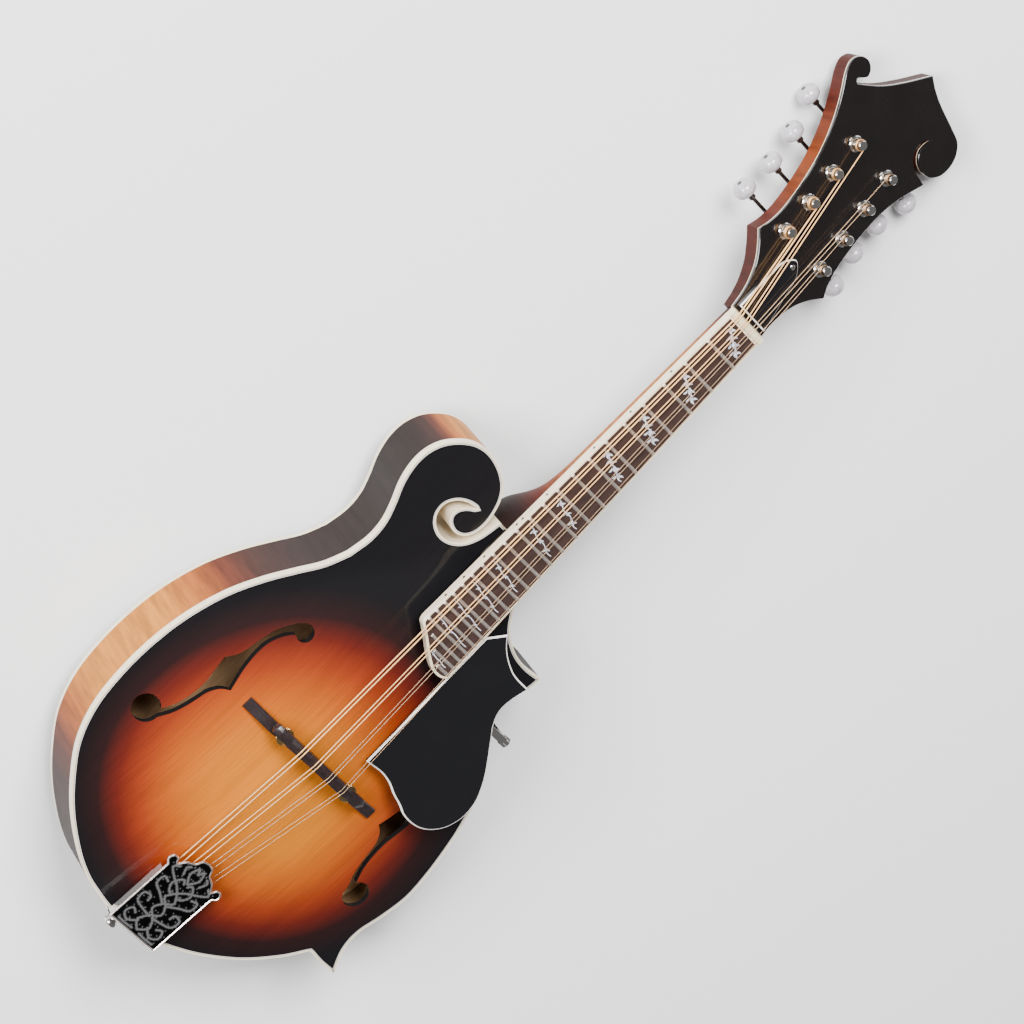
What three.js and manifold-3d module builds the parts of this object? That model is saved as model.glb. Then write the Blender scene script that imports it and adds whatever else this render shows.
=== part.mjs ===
// A carved scroll-body mandolin, lying on its back, in millimetres.
// +X is the treble side, +Y runs to the headstock and +Z stands up out of the soundboard.
// Everything is drawn from the saddle line (y = 0) and the top edge of the body (z = 0),
// and the whole instrument is then lifted so that its lowest point is at z = 0.
import * as THREE from 'three';
import { mergeVertices } from 'three/addons/utils/BufferGeometryUtils.js';
import Module from 'manifold-3d';

const wasm = await Module();
wasm.setup();

// ---------- driving sizes ----------
const degree = Math.PI / 180;
const gap = 0.3;                    // left between pieces that touch
const scaleLength = 352.4;          // nut to saddle
const neckAngle = 3.6 * degree;     // fretboard to body
const headAngle = 15.3 * degree;    // headstock face to body
const nutZ = 3.9;                   // fretboard surface at the nut, above the top edge
const nutY = scaleLength * Math.cos(neckAngle);

const topEdge = 4.6;                // soundboard and top binding at the edge
const ribBottom = -40.9;            // lower edge of the ribs
const backEdge = -44.8;             // lowest edge of the body, under the back binding
const topArch = 14.2;
const backArch = 15.8;
const plateWall = 4.2;
const bindingWide = 1.9;
const ribWall = 2.2;
const neckJointY = 172;             // end of the body, where the heel is let in

const boardNutHalf = 14.05;         // half width of the fretboard at the nut
const boardTaper = 0.0245;          // half width gained for each mm towards the bridge
const boardThick = 5.4;

const headThick = 14.2;
const overlayThick = 1.6;
const firstPost = 55;               // from the nut along the headstock
const postPitch = 22.7;
const gearTeeth = 14;
const wormPitch = 1.616;
const wormOffset = 5.5;             // post axis to worm axis
const gearDepth = 19.3;             // headstock face to the worm axis
const buttonReach = [46, 42.8, 44, 51.2];   // centreline to each button, from the nut out

const saddleTop = 30.6;             // the strings lie just above it
const wheelX = 29;                  // thumbwheels, either side of the centreline

// ---------- materials ----------
function finish(colour, roughness = 0.4, metalness = 0) {
  return new THREE.MeshStandardMaterial({ color: colour, roughness, metalness });
}
const amberTop = finish('#c8741e', 0.25);
const flamedMaple = finish('#b8661c', 0.25);
const neckMaple = finish('#7a2416', 0.25);
const plainSpruce = finish('#d8b98a', 0.7);
const plainMaple = finish('#c9a878', 0.7);
const ivory = finish('#efe8cf', 0.35);
const rosewood = finish('#4a3026', 0.55);
const ebony = finish('#1d1716', 0.45);
const blackLacquer = finish('#0d0a0b', 0.12);
const blackPlastic = finish('#111113', 0.2);
const bone = finish('#e9dfb8', 0.4);
const chrome = finish('#c9ccd0', 0.15, 1);
const steel = finish('#8e9196', 0.35, 1);
const brass = finish('#b08a45', 0.3, 1);
const pearl = finish('#e9e6e4', 0.2);
const bronzeString = finish('#b07a42', 0.35, 1);
const plainString = finish('#c4c6c8', 0.25, 1);

// ---------- joining and cutting ----------
function solidOf(geometry) {
  const bare = new THREE.BufferGeometry();
  bare.setAttribute('position', geometry.getAttribute('position').clone());
  if (geometry.index) bare.setIndex(geometry.index.clone());
  const merged = mergeVertices(bare, 1e-4);
  return new wasm.Manifold(new wasm.Mesh({
    numProp: 3,
    vertProperties: merged.getAttribute('position').array,
    triVerts: new Uint32Array(merged.index.array),
  }));
}

function geometryOf(solid) {
  const mesh = solid.getMesh();
  const geometry = new THREE.BufferGeometry();
  geometry.setAttribute('position', new THREE.BufferAttribute(mesh.vertProperties, 3));
  geometry.setIndex(new THREE.BufferAttribute(mesh.triVerts, 1));
  geometry.computeVertexNormals();
  return geometry;
}

function join(...pieces) {
  return geometryOf(pieces.map(solidOf).reduce((sum, piece) => sum.add(piece)));
}

function cut(piece, ...tools) {
  return geometryOf(tools.reduce((left, tool) => left.subtract(solidOf(tool)), solidOf(piece)));
}

function keep(piece, tool) {
  return geometryOf(solidOf(piece).intersect(solidOf(tool)));
}

// ---------- basic shapes ----------
function box(x0, x1, y0, y1, z0, z1) {
  return new THREE.BoxGeometry(x1 - x0, y1 - y0, z1 - z0)
    .translate((x0 + x1) / 2, (y0 + y1) / 2, (z0 + z1) / 2);
}

function prism(points, z0, z1, holes = []) {
  const shape = new THREE.Shape(points);
  shape.holes = holes.map((hole) => new THREE.Path(hole));
  return new THREE.ExtrudeGeometry(shape, { depth: z1 - z0, bevelEnabled: false, curveSegments: 4 })
    .translate(0, 0, z0);
}

function rod(radius, length, sides = 12) {       // along +Z from the origin
  return new THREE.CylinderGeometry(radius, radius, length, sides)
    .rotateX(Math.PI / 2).translate(0, 0, length / 2);
}

function turned(profile, sides = 16) {           // [radius, height] pairs, turned about +Z
  return new THREE.LatheGeometry(profile.map(([r, z]) => new THREE.Vector2(r, z)), sides)
    .rotateX(Math.PI / 2);
}

function circle(x, y, radius, sides = 14) {
  return new THREE.EllipseCurve(x, y, radius, radius).getPoints(sides).slice(0, sides);
}

function curveThrough(points, step) {            // a smooth run, evenly spaced
  const curve = new THREE.SplineCurve(points.map(([x, y]) => new THREE.Vector2(x, y)));
  return curve.getSpacedPoints(Math.max(1, Math.round(curve.getLength() / step)));
}

function outlineOf(runs) {                       // runs meet at sharp corners
  return runs.flatMap(({ points, step }) => curveThrough(points, step).slice(0, -1));
}

function distanceTo(outline, point) {
  const foot = new THREE.Vector3();
  const at = new THREE.Vector3(point.x, point.y, 0);
  return Math.min(...outline.map((a, i) => {
    const b = outline[(i + 1) % outline.length];
    const side = new THREE.Line3(new THREE.Vector3(a.x, a.y, 0), new THREE.Vector3(b.x, b.y, 0));
    return side.closestPointToPoint(at, true, foot).distanceTo(at);
  }));
}

function inset(outline, depth) {                 // the outline, moved into the material
  const moved = outline.map((here, i) => {
    const before = outline.at(i - 1);
    const after = outline[(i + 1) % outline.length];
    const into = here.clone().sub(before).normalize();
    const out = after.clone().sub(here).normalize();
    const normal = new THREE.Vector2(-into.y - out.y, into.x + out.x).normalize();
    const half = Math.max(0.35, normal.dot(new THREE.Vector2(-into.y, into.x)));
    const inward = into.cross(out) > 0 ? depth / half : depth;
    return here.clone().addScaledVector(normal, inward);
  });
  return moved.filter((point) => distanceTo(outline, point) > depth * 0.97);
}

// ---------- body outline, anticlockwise from the tail ----------
const trebleBout = [[4, -149.6], [18, -148], [32, -144.6], [53, -136], [75.5, -122.3], [94, -105.6],
  [106, -90.6]];
const lowerPoint = [[106, -90.6], [118, -91.8], [130, -91.4]];
const trebleSide = [[130, -91.4], [122.6, -77], [121, -63], [124.6, -47], [127.3, -28], [125.4, -8],
  [121, 13], [115.5, 31], [108, 48], [98, 62.5], [86, 75.5], [77.5, 88], [75.8, 100], [79.3, 113]];
const upperPointEnd = [[79.3, 113], [80.2, 122.6]];
const trebleShoulder = [[80.2, 122.6], [66, 121.4], [53, 123.6], [41, 130.2], [31, 141.5], [24, 154],
  [20, neckJointY]];
const neckJoint = [[20, neckJointY], [-19.4, neckJointY]];
const slotOuter = [[-19.4, neckJointY], [-20.6, 163], [-22.8, 155], [-27, 148.2], [-33.5, 143.8],
  [-41, 142.6], [-48.5, 145.2], [-53.3, 150.6], [-54, 157.5], [-50, 163.6], [-43.5, 167.2], [-36, 168.4]];
const scroll = [[-36, 168.4], [-41.5, 165.2], [-45.4, 160.6], [-46, 155.2], [-42.3, 150.9], [-36, 149.2],
  [-29.7, 151.4], [-25.6, 157.4], [-24.8, 166], [-26.8, 175], [-30.6, 183], [-37, 189.6], [-46.5, 194.4],
  [-58, 196.6], [-69, 194.6], [-78, 188.8], [-84.8, 181], [-88.4, 171], [-88.3, 160], [-84.8, 148],
  [-78.7, 136], [-74.2, 124.5], [-73, 112], [-75.3, 98]];
const bassSide = [[-75.3, 98], [-81.7, 84], [-91.6, 70], [-103, 53], [-113.6, 32.5], [-121.1, 8],
  [-124.4, -16], [-124.4, -40], [-120.8, -64.5], [-112, -86], [-98.3, -103.5], [-80.5, -120.4],
  [-59.5, -134.8], [-42.4, -143.1], [-28, -147], [-15, -149.2], [4, -149.6]];
const bodyOutline = outlineOf([
  { points: trebleBout, step: 14 }, { points: lowerPoint, step: 12 }, { points: trebleSide, step: 12 },
  { points: upperPointEnd, step: 20 }, { points: trebleShoulder, step: 9 }, { points: neckJoint, step: 50 },
  { points: slotOuter, step: 5.5 }, { points: scroll, step: 7 }, { points: bassSide, step: 13 },
]);

// The inside of the bowl passes straight behind the two treble points.
const bowlOutline = outlineOf([
  { points: [[4, -149.6], [18, -148], [32, -144.6], [53, -136], [75.5, -122.3], [94, -105.6], [108, -88],
    [117, -70],
    [122.5, -50], [124.5, -28], [123, -8], [119, 13], [113.5, 31], [106, 48], [96, 62.5], [85, 75],
    [75, 88], [68, 101], [58, 115], [46, 127], [34, 137], [20, 141]], step: 18 },
  { points: [[20, 141], [-60, 141]], step: 100 },
  { points: [[-60, 141], [-72.5, 128], [-73, 112], [-75.3, 98]], step: 10 },
  { points: bassSide, step: 18 },
]);

// Height of the carving over the edge of the plate.
function carved(x, y, height) {
  const middle = -18;
  const halfWide = 122 - 0.45 * Math.max(0, y - 20);
  const halfLong = y < middle ? 132 : 168;
  const out = (x / halfWide) ** 2 + ((y - middle) / halfLong) ** 2;
  return out < 1 ? height * (1 - out) ** 1.5 : 0;
}

function carvedSlab(z0, z1, height) {
  const slab = new THREE.BoxGeometry(268, 362, z1 - z0, 14, 19, 1).translate(2, 23, (z0 + z1) / 2);
  const at = slab.getAttribute('position');
  for (let i = 0; i < at.count; i += 1) {
    at.setZ(i, at.getZ(i) + carved(at.getX(i), at.getY(i), height));
  }
  return slab;
}

// ---------- f-holes ----------
const eyeStem = [[89.5, -40], [87, -33], [84.6, -24], [83.8, -13], [85, -4], [86.5, 6]];
const stemToUpper = [[86.5, 6], [82, 12.6], [79.8, 20], [78, 28.5], [75.5, 37], [71, 45.2], [66.5, 50.5]];
const upperToNib = [[63.5, 45], [68.8, 38.4], [72.9, 30], [74.1, 21], [73.4, 12], [71.8, 4], [69.3, -5.6]];
const nibToEye = [[69.3, -5.6], [74.6, -9.2], [78.4, -15.5], [80, -23], [81.6, -30], [84.2, -38], [88, -46]];
const lowerEye = { x: 97.4, y: -46.4, radius: 8.8 };
const upperEye = { x: 60.8, y: 47.8, radius: 5.7 };

function fHole(side) {
  const stem = outlineOf([
    { points: eyeStem, step: 9 }, { points: stemToUpper, step: 9 },
    { points: [[66.5, 50.5], [63.5, 45]], step: 9 },
    { points: upperToNib, step: 9 }, { points: nibToEye, step: 9 },
    { points: [[88, -46], [89.5, -40]], step: 9 },
  ]);
  const hole = join(prism(stem.reverse(), -20, 40),
    prism(circle(lowerEye.x, lowerEye.y, lowerEye.radius), -20, 40),
    prism(circle(upperEye.x, upperEye.y, upperEye.radius), -20, 40));
  return side > 0 ? hole : geometryOf(solidOf(hole).mirror([1, 0, 0]));
}

// ---------- frames of the neck and the headstock ----------
const neckFrame = new THREE.Matrix4().makeRotationX(-neckAngle).setPosition(0, nutY, nutZ);
const headFrame = new THREE.Matrix4().makeRotationX(-headAngle).setPosition(0, nutY + 4, nutZ - 4);
const onNeck = (geometry) => geometry.applyMatrix4(neckFrame);
const onHead = (geometry) => geometry.applyMatrix4(headFrame);
const halfBoard = (y) => boardNutHalf - boardTaper * y;       // y is negative towards the bridge

// ---------- the instrument ----------
const mandolin = new THREE.Group();

function add(name, geometry, material) {
  const mesh = new THREE.Mesh(geometry, material);
  mesh.name = name;
  mandolin.add(mesh);
  return mesh;
}

// Body shell: carved plates let into the bindings, with the ribs between them.
function bodyShell() {
  const plateEdge = inset(bodyOutline, bindingWide + gap);
  const bindingHole = inset(bodyOutline, bindingWide);
  const top = keep(carvedSlab(-plateWall, 0, topArch), prism(plateEdge, -20, 40));
  add('soundboard', cut(top, fHole(1), fHole(-1)), amberTop);
  const back = carvedSlab(backEdge, backEdge + plateWall - 0.6, -backArch);
  add('back_plate', keep(back, prism(plateEdge, -80, 0)), flamedMaple);
  add('ribs', prism(bodyOutline, ribBottom, -topEdge - gap, [inset(bodyOutline, ribWall)]), flamedMaple);
  add('top_binding', prism(bodyOutline, -topEdge, 0, [bindingHole]), ivory);
  add('back_binding', prism(bodyOutline, backEdge, ribBottom - gap, [bindingHole]), ivory);
}

// Inside the bowl: blocks, linings and the two tone bars under the soundboard.
function bodyInside() {
  const low = ribBottom + 0.2;
  const high = -topEdge - 2 * gap;
  const inRibs = prism(inset(bodyOutline, ribWall + gap), low, high);
  add('head_block', keep(inRibs, box(-120, 34, 134, 200, low, high)), plainMaple);
  add('lower_point_block', keep(cut(inRibs, prism(inset(bowlOutline, 1.5), -60, 0)),
    box(108, 140, -100, -60, low, high)), plainMaple);
  add('upper_point_block', keep(cut(inRibs, prism(inset(bowlOutline, 1.5), -60, 0)),
    box(58, 100, 92, 130, low, high)), plainMaple);
  const liningFace = inset(bowlOutline, ribWall + 6.2);
  const lining = (z0, z1) => cut(prism(inset(bowlOutline, ribWall + 1.3), z0, z1, [liningFace]),
    box(-80, 60, 131, 160, -60, 0));
  add('top_lining', lining(high - 6, high), plainSpruce);
  add('back_lining', lining(low, low + 6), plainSpruce);
  add('tail_block', keep(prism(inset(bowlOutline, ribWall + 6.6), low, high),
    box(-34, 34, -170, -122, low, high)), plainMaple);
  [['tone_bar_bass', -26, 3], ['tone_bar_treble', 22, -3]].forEach(([name, x, lean]) => {
    const bar = new THREE.BoxGeometry(6.4, 190, 10, 1, 9, 1).translate(x, -8, -5);
    const at = bar.getAttribute('position');
    for (let i = 0; i < at.count; i += 1) {
      const upper = at.getZ(i) > -5;
      const along = at.getY(i) / 95;
      at.setX(i, at.getX(i) + lean * along);
      const under = carved(at.getX(i), at.getY(i), topArch) - plateWall - 1.1;
      at.setZ(i, upper ? under : under - 11 + 7 * along ** 2);
    }
    add(name, bar, plainSpruce);
  });
}

// Neck: shaft, heel, the riser under the fretboard's end, and the headstock, in one piece.
const headOutline = outlineOf([
  { points: [[-14.2, 0], [14.2, 0]], step: 30 },
  { points: [[14.2, 0], [14.4, 9], [16, 18.5], [20, 29], [26, 37.5], [32.8, 44.6]], step: 7 },
  { points: [[32.8, 44.6], [29.2, 53], [27.2, 64], [26.6, 78], [27, 92], [28.8, 107], [33.2, 122],
    [40.3, 137.9]], step: 14 },
  { points: [[40.3, 137.9], [30.2, 139.2]], step: 12 },
  { points: [[30.2, 139.2], [23.6, 143], [20.6, 149], [21.3, 155.6], [25.6, 161]], step: 5.5 },
  { points: [[25.6, 161], [23.8, 156], [23.4, 150], [27, 144.8], [33, 142.4], [40, 143.6], [45.4, 148.6],
    [47.6, 156.5], [46.2, 165], [41, 171.6], [33, 174.3], [16, 178.8], [6, 182.6], [-2, 187.2]], step: 7 },
  { points: [[-2, 187.2], [-14, 172], [-26, 159.2], [-40.6, 148.4]], step: 20 },
  { points: [[-40.6, 148.4], [-43, 150.6], [-40.4, 153.4]], step: 3.5 },
  { points: [[-40.4, 153.4], [-37.8, 156.6], [-39.6, 161], [-44.6, 163.4], [-50.6, 161.4], [-53.4, 155.6],
    [-51.2, 148], [-44.5, 137], [-38, 124], [-33, 110], [-29.8, 96], [-28, 80], [-27.8, 64], [-29.6, 53],
    [-32.8, 44.6]], step: 8.5 },
  { points: [[-32.8, 44.6], [-26, 37.5], [-20, 29], [-16, 18.5], [-14.4, 9], [-14.2, 0]], step: 9 },
]);

function postPlaces() {
  return ['g1', 'g2', 'd1', 'd2', 'e1', 'e2', 'a2', 'a1'].map((name, i) => {
    const step = i % 4;
    const side = i < 4 ? -1 : 1;
    const y = firstPost + step * postPitch;
    return { name, side, y, x: side * (17.9 - 0.64 * step), reach: buttonReach[step] };
  });
}

// The shaft and heel are one half-round: [y, half width, depth] below the fretboard.
const neckSections = [[neckJointY + gap, 18.4, 54], [178, 18.1, 51], [184.5, 17.7, 48], [190.5, 17.3, 39.5],
  [197.5, 17, 30], [204, 16.8, 23.4], [211, 16.8, 19.4], [220, 16.7, 16.4], [236, 16.5, 14.6],
  [nutY + 4, 13.7, 11.6]];

function shaftAndHeel() {
  const last = neckSections.length - 1;
  const shaft = new THREE.CylinderGeometry(1, 1, last, 22, last).translate(0, last / 2, 0);
  const at = shaft.getAttribute('position');
  for (let i = 0; i < at.count; i += 1) {
    const [y, halfWide, depth] = neckSections[Math.round(at.getY(i))];
    const boardUnder = nutZ - boardThick - gap + (nutY - y) * Math.tan(neckAngle);
    at.setXYZ(i, at.getX(i) * halfWide, y, boardUnder + at.getZ(i) * depth);
  }
  return keep(shaft, box(-40, 40, 150, 400, -40.6, 40));
}

function neckAndFriends() {
  const above = box(-40, 40, -300, 20, -boardThick - gap, 30);
  const head = onHead(prism(headOutline, -headThick, -overlayThick - gap));
  const backTaper = onHead(box(-90, 90, -60, 0, -20, 0).rotateX(-6 * degree).translate(0, 34, -headThick));
  const riser = box(-halfBoard(-230) + 2.4, halfBoard(-230) - 2.4, -252, -172, -14.2, -boardThick - gap);
  let neck = join(cut(shaftAndHeel(), onNeck(above)), cut(head, backTaper));
  neck = join(neck, keep(onNeck(riser), box(-40, 40, 96, 190, 6.2, 40)));
  const channel = onNeck(box(-3.7, 3.7, -166, 9, -15, -boardThick));
  const pocket = onHead(box(-4.6, 4.6, -6, 26, -9.4, 2));
  const postHoles = postPlaces().map(({ x, y }) => onHead(rod(3.4, 40, 10).translate(x, y, -30)));
  const tipTaper = onHead(box(-90, 90, 0, 80, -20, 0).rotateX(2.2 * degree).translate(0, 138, -headThick));
  add('neck', cut(neck, channel, pocket, tipTaper, ...postHoles), neckMaple);

  const overlayStart = new THREE.Vector2(0, 1.2);
  const overlay = headOutline.map((p) => new THREE.Vector2(p.x, Math.max(p.y, overlayStart.y)));
  add('headstock_overlay', cut(onHead(prism(overlay, -overlayThick, 0)), pocket, ...postHoles), blackLacquer);

  const rodBar = rod(2.4, 158, 8).rotateX(-Math.PI / 2).translate(0, -160, -11.4);
  add('truss_rod', onNeck(rodBar), steel);
  const rodNut = cut(rod(3.4, 9, 6), rod(2, 20, 6).translate(0, 0, 4))
    .rotateX(-Math.PI / 2).translate(0, -1.4, -11.4);
  add('truss_rod_nut', onNeck(rodNut), brass);

  const bell = outlineOf([
    { points: [[-12.2, 3.4], [12.2, 3.4]], step: 30 },
    { points: [[12.2, 3.4], [11.4, 12], [10, 22], [8.8, 30], [8, 38], [5, 44], [0, 47.6], [-5, 44], [-8, 38],
      [-8.8, 30], [-10, 22], [-11.4, 12], [-12.2, 3.4]], step: 7 },
  ]);
  add('truss_rod_cover', onHead(prism(bell, gap, gap + 1.8)), blackPlastic);
}

// Fretboard with its binding and the nut.
function fretboardAndNut() {
  const end = [[20.6, -265.8], [16.5, -268.2], [11, -268.6], [6, -267.2], [1, -264.6], [-4, -261.5],
    [-9, -258.2], [-15, -254.4], [-19, -252], [-20.2, -248.6]];
  const outline = outlineOf([
    { points: [[halfBoard(0), 0], [-halfBoard(0), 0]], step: 50 },
    { points: [[-halfBoard(0), 0], [-halfBoard(-248.6), -248.6]], step: 300 },
    { points: end.slice().reverse(), step: 5 },
    { points: [[20.6, -265.8], [halfBoard(0), 0]], step: 300 },
  ]);
  const core = inset(outline, 1.5 + gap);
  const toNut = core.map((p) => new THREE.Vector2(p.x, p.y > -10 ? 0 : p.y));
  const hollow = inset(outline, 1.5).map((p) => new THREE.Vector2(p.x, p.y > -10 ? 10 : p.y));
  add('fretboard', onNeck(prism(toNut, -boardThick, 0)), rosewood);
  add('fretboard_binding', onNeck(cut(prism(outline, -boardThick, 0), prism(hollow, -20, 20))), ivory);
  add('nut', onNeck(box(-14.1, 14.1, gap, 4.6, -boardThick, 0.9)), bone);
}

// Bridge: two-footed base, threaded posts, thumbwheels and the saddle that rides on them.
function bridge() {
  const postY = -2.8;
  const foot = (x) => carved(x, -5, topArch) + gap + 0.15;
  const base = outlineOf([
    { points: [[-58, foot(58)], [-46, foot(46)], [-34, foot(34)], [-22, foot(22)]], step: 9 },
    { points: [[-22, foot(22)], [-16, 15.4], [0, 16.2], [16, 15.4], [22, foot(22)]], step: 9 },
    { points: [[22, foot(22)], [34, foot(34)], [46, foot(46)], [58, foot(58)]], step: 9 },
    { points: [[58, foot(58)], [58, 11.4]], step: 9 },
    { points: [[58, 11.4], [52, 13], [43, 15.9], [36, 17.2]], step: 7 },
    { points: [[36, 17.2], [-36, 17.2]], step: 100 },
    { points: [[-36, 17.2], [-43, 15.9], [-52, 13], [-58, 11.4]], step: 7 },
    { points: [[-58, 11.4], [-58, foot(58)]], step: 9 },
  ]);
  const upright = (points, thick, y) => new THREE.ExtrudeGeometry(new THREE.Shape(points),
    { depth: thick, bevelEnabled: false }).rotateX(Math.PI / 2).translate(0, y + thick / 2, 0);
  const socket = (x, radius) => rod(radius, 40, 10).translate(x, postY, 12.5);
  add('bridge_base', cut(upright(base, 7.2, -3.7), socket(-wheelX, 2.2), socket(wheelX, 2.2)), ebony);
  const crest = outlineOf([
    { points: [[-40.5, 21.9], [40.5, 21.9]], step: 100 },
    { points: [[40.5, 21.9], [40.5, 25.5], [36, 27.4], [28, 28.6], [22.5, saddleTop - 0.5]], step: 7 },
    { points: [[22.5, saddleTop - 0.5], [0, saddleTop + 0.5], [-22.5, saddleTop - 0.5]], step: 12 },
    { points: [[-22.5, saddleTop - 0.5], [-28, 28.6], [-36, 27.4], [-40.5, 25.5], [-40.5, 21.9]], step: 7 },
  ]);
  const postWay = (x) => rod(2.1, 5.8, 10).translate(x, postY, 21);
  add('bridge_saddle', cut(upright(crest, 6.8, -1.9), postWay(-wheelX), postWay(wheelX)), ebony);
  [['bass', -wheelX], ['treble', wheelX]].forEach(([side, x]) => {
    add(`bridge_post_${side}`, rod(1.8, 10.8, 10).translate(x, postY, 13.4), brass);
    const wheel = cut(rod(5.8, 2.1, 20).translate(x, postY, 19.5), rod(2.1, 9, 10).translate(x, postY, 16));
    add(`thumbwheel_${side}`, wheel, brass);
  });
}

// Tailpiece: the base that holds the loops, the sliding cover over it, and the end pin below.
function tailpiece() {
  const pinZ = -12;
  const shelf = box(-17, 17, -151.2, -114, 5.3, 6.7);
  const apron = box(-14, 14, -151.2, -150, -26, 6);
  const hooks = [];
  for (let i = 0; i < 8; i += 1) {
    hooks.push(rod(0.9, 3.6, 8).translate(hookX(i), -121, 6));
  }
  const pinHole = rod(3, 20, 12).rotateX(-Math.PI / 2).translate(0, -160, pinZ);
  add('tailpiece_base', cut(join(shelf, apron, ...hooks), pinHole), chrome);

  const plan = outlineOf([
    { points: [[-20, 0], [20, 0]], step: 60 },
    { points: [[20, 0], [20, 46]], step: 60 },
    { points: [[20, 46], [22.8, 48.8], [21.4, 52.8], [17.4, 53], [15.5, 49.8]], step: 4 },
    { points: [[15.5, 49.8], [12, 54.2], [7, 56.8], [4.6, 60.8], [0, 62.2], [-4.6, 60.8], [-7, 56.8],
      [-12, 54.2], [-15.5, 49.8]], step: 5 },
    { points: [[-15.5, 49.8], [-17.4, 53], [-21.4, 52.8], [-22.8, 48.8], [-20, 46]], step: 4 },
    { points: [[-20, 46], [-20, 0]], step: 60 },
  ]);
  const lid = join(prism(plan, -1.4, 0), box(-20, -18.8, 0, 42, -6, -1), box(18.8, 20, 0, 42, -6, -1),
    box(-20, 20, 0, 1.2, -6, -1));
  add('tailpiece_cover', lid.rotateX(4.6 * degree).translate(0, -149.8, 13.8), chrome);

  const pin = turned([[0, -12], [2.6, -12], [2.6, 0], [4.4, 0.4], [3.2, 2], [2.9, 3.4], [4.6, 5],
    [4.6, 6.6], [4.2, 7], [0, 7]], 14).rotateX(Math.PI / 2).translate(0, -151.7, pinZ);
  add('end_pin', pin, chrome);
  const ribHole = rod(3, 40, 12).rotateX(-Math.PI / 2).translate(0, -170, pinZ);
  ['ribs', 'tail_block', 'back_lining', 'top_lining'].forEach((name) => {
    const mesh = mandolin.getObjectByName(name);
    mesh.geometry = cut(mesh.geometry, ribHole);
  });
}

// Pickguard, held level with the fretboard by a bracket on the treble side.
function pickguard() {
  const outline = outlineOf([
    { points: [[22, -333.4], [27, -333]], step: 9 },
    { points: [[27, -333], [35, -332.4], [43.5, -333.8], [51.5, -337], [59.4, -339.2], [66.4, -341.9],
      [74, -342.6], [82, -341.2], [89, -337.2], [94.6, -331], [97.8, -323.6], [98.8, -316.5], [97.6, -307.6],
      [94, -299.5], [88.8, -291.3], [81.6, -282.4], [74.5, -274.2], [68.5, -267], [64.8, -258.8],
      [65.2, -250], [68.6, -237.8]], step: 9 },
    { points: [[68.6, -237.8], [56, -237.4], [47, -234.6], [38.4, -229.6], [31.5, -223]], step: 9 },
    { points: [[31.5, -223], [22, -233]], step: 20 },
    { points: [[22, -233], [22, -333.4]], step: 200 },
  ]);
  add('pickguard', onNeck(prism(outline, -5.4, -3)), blackPlastic);
  const arm = join(box(66, 85.6, 79, 84, 11.6, 12.8), box(84.2, 85.6, 79, 84, -9, 12.8));
  const shankWay = rod(1.5, 20, 10).rotateY(Math.PI / 2).translate(70, 81.5, 7.6);
  add('pickguard_bracket', cut(arm, shankWay), chrome);
  const screw = turned([[0, -2], [1.2, -2], [1.2, 1.8], [3.2, 1.8], [3.6, 3], [3.4, 6.6], [0, 7.4]], 12)
    .rotateY(Math.PI / 2).translate(84.2, 81.5, 7.6);
  add('bracket_screw', screw, chrome);
}

// Tuners: a plate on each side of the back, four posts with gears, and four worm shafts with buttons.
function gearSolid() {
  const points = [];
  for (let tooth = 0; tooth < gearTeeth; tooth += 1) {
    [[-0.5, 3], [-0.13, 4], [0.13, 4]].forEach(([turn, radius]) => {
      const angle = Math.PI / 2 + (tooth + turn) * 2 * Math.PI / gearTeeth;
      points.push(new THREE.Vector2(radius * Math.cos(angle), radius * Math.sin(angle)));
    });
  }
  return prism(points, -1.2, 1.2);
}

function wormSolid() {                           // along +X, with a gap between threads at x = 0
  const worm = new THREE.CylinderGeometry(1, 1, 3.25 * wormPitch, 8, 13).rotateZ(-Math.PI / 2);
  const at = worm.getAttribute('position');
  for (let i = 0; i < at.count; i += 1) {
    const [x, y, z] = [at.getX(i), at.getY(i), at.getZ(i)];
    const turn = Math.atan2(-z, -y) / (2 * Math.PI);
    const crest = Math.cos(2 * Math.PI * (x / wormPitch - turn - 0.5));
    const radius = Math.hypot(y, z) * (1.72 + 0.45 * crest);
    at.setY(i, -radius * Math.cos(2 * Math.PI * turn));
    at.setZ(i, -radius * Math.sin(2 * Math.PI * turn));
  }
  return worm;
}

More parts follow.
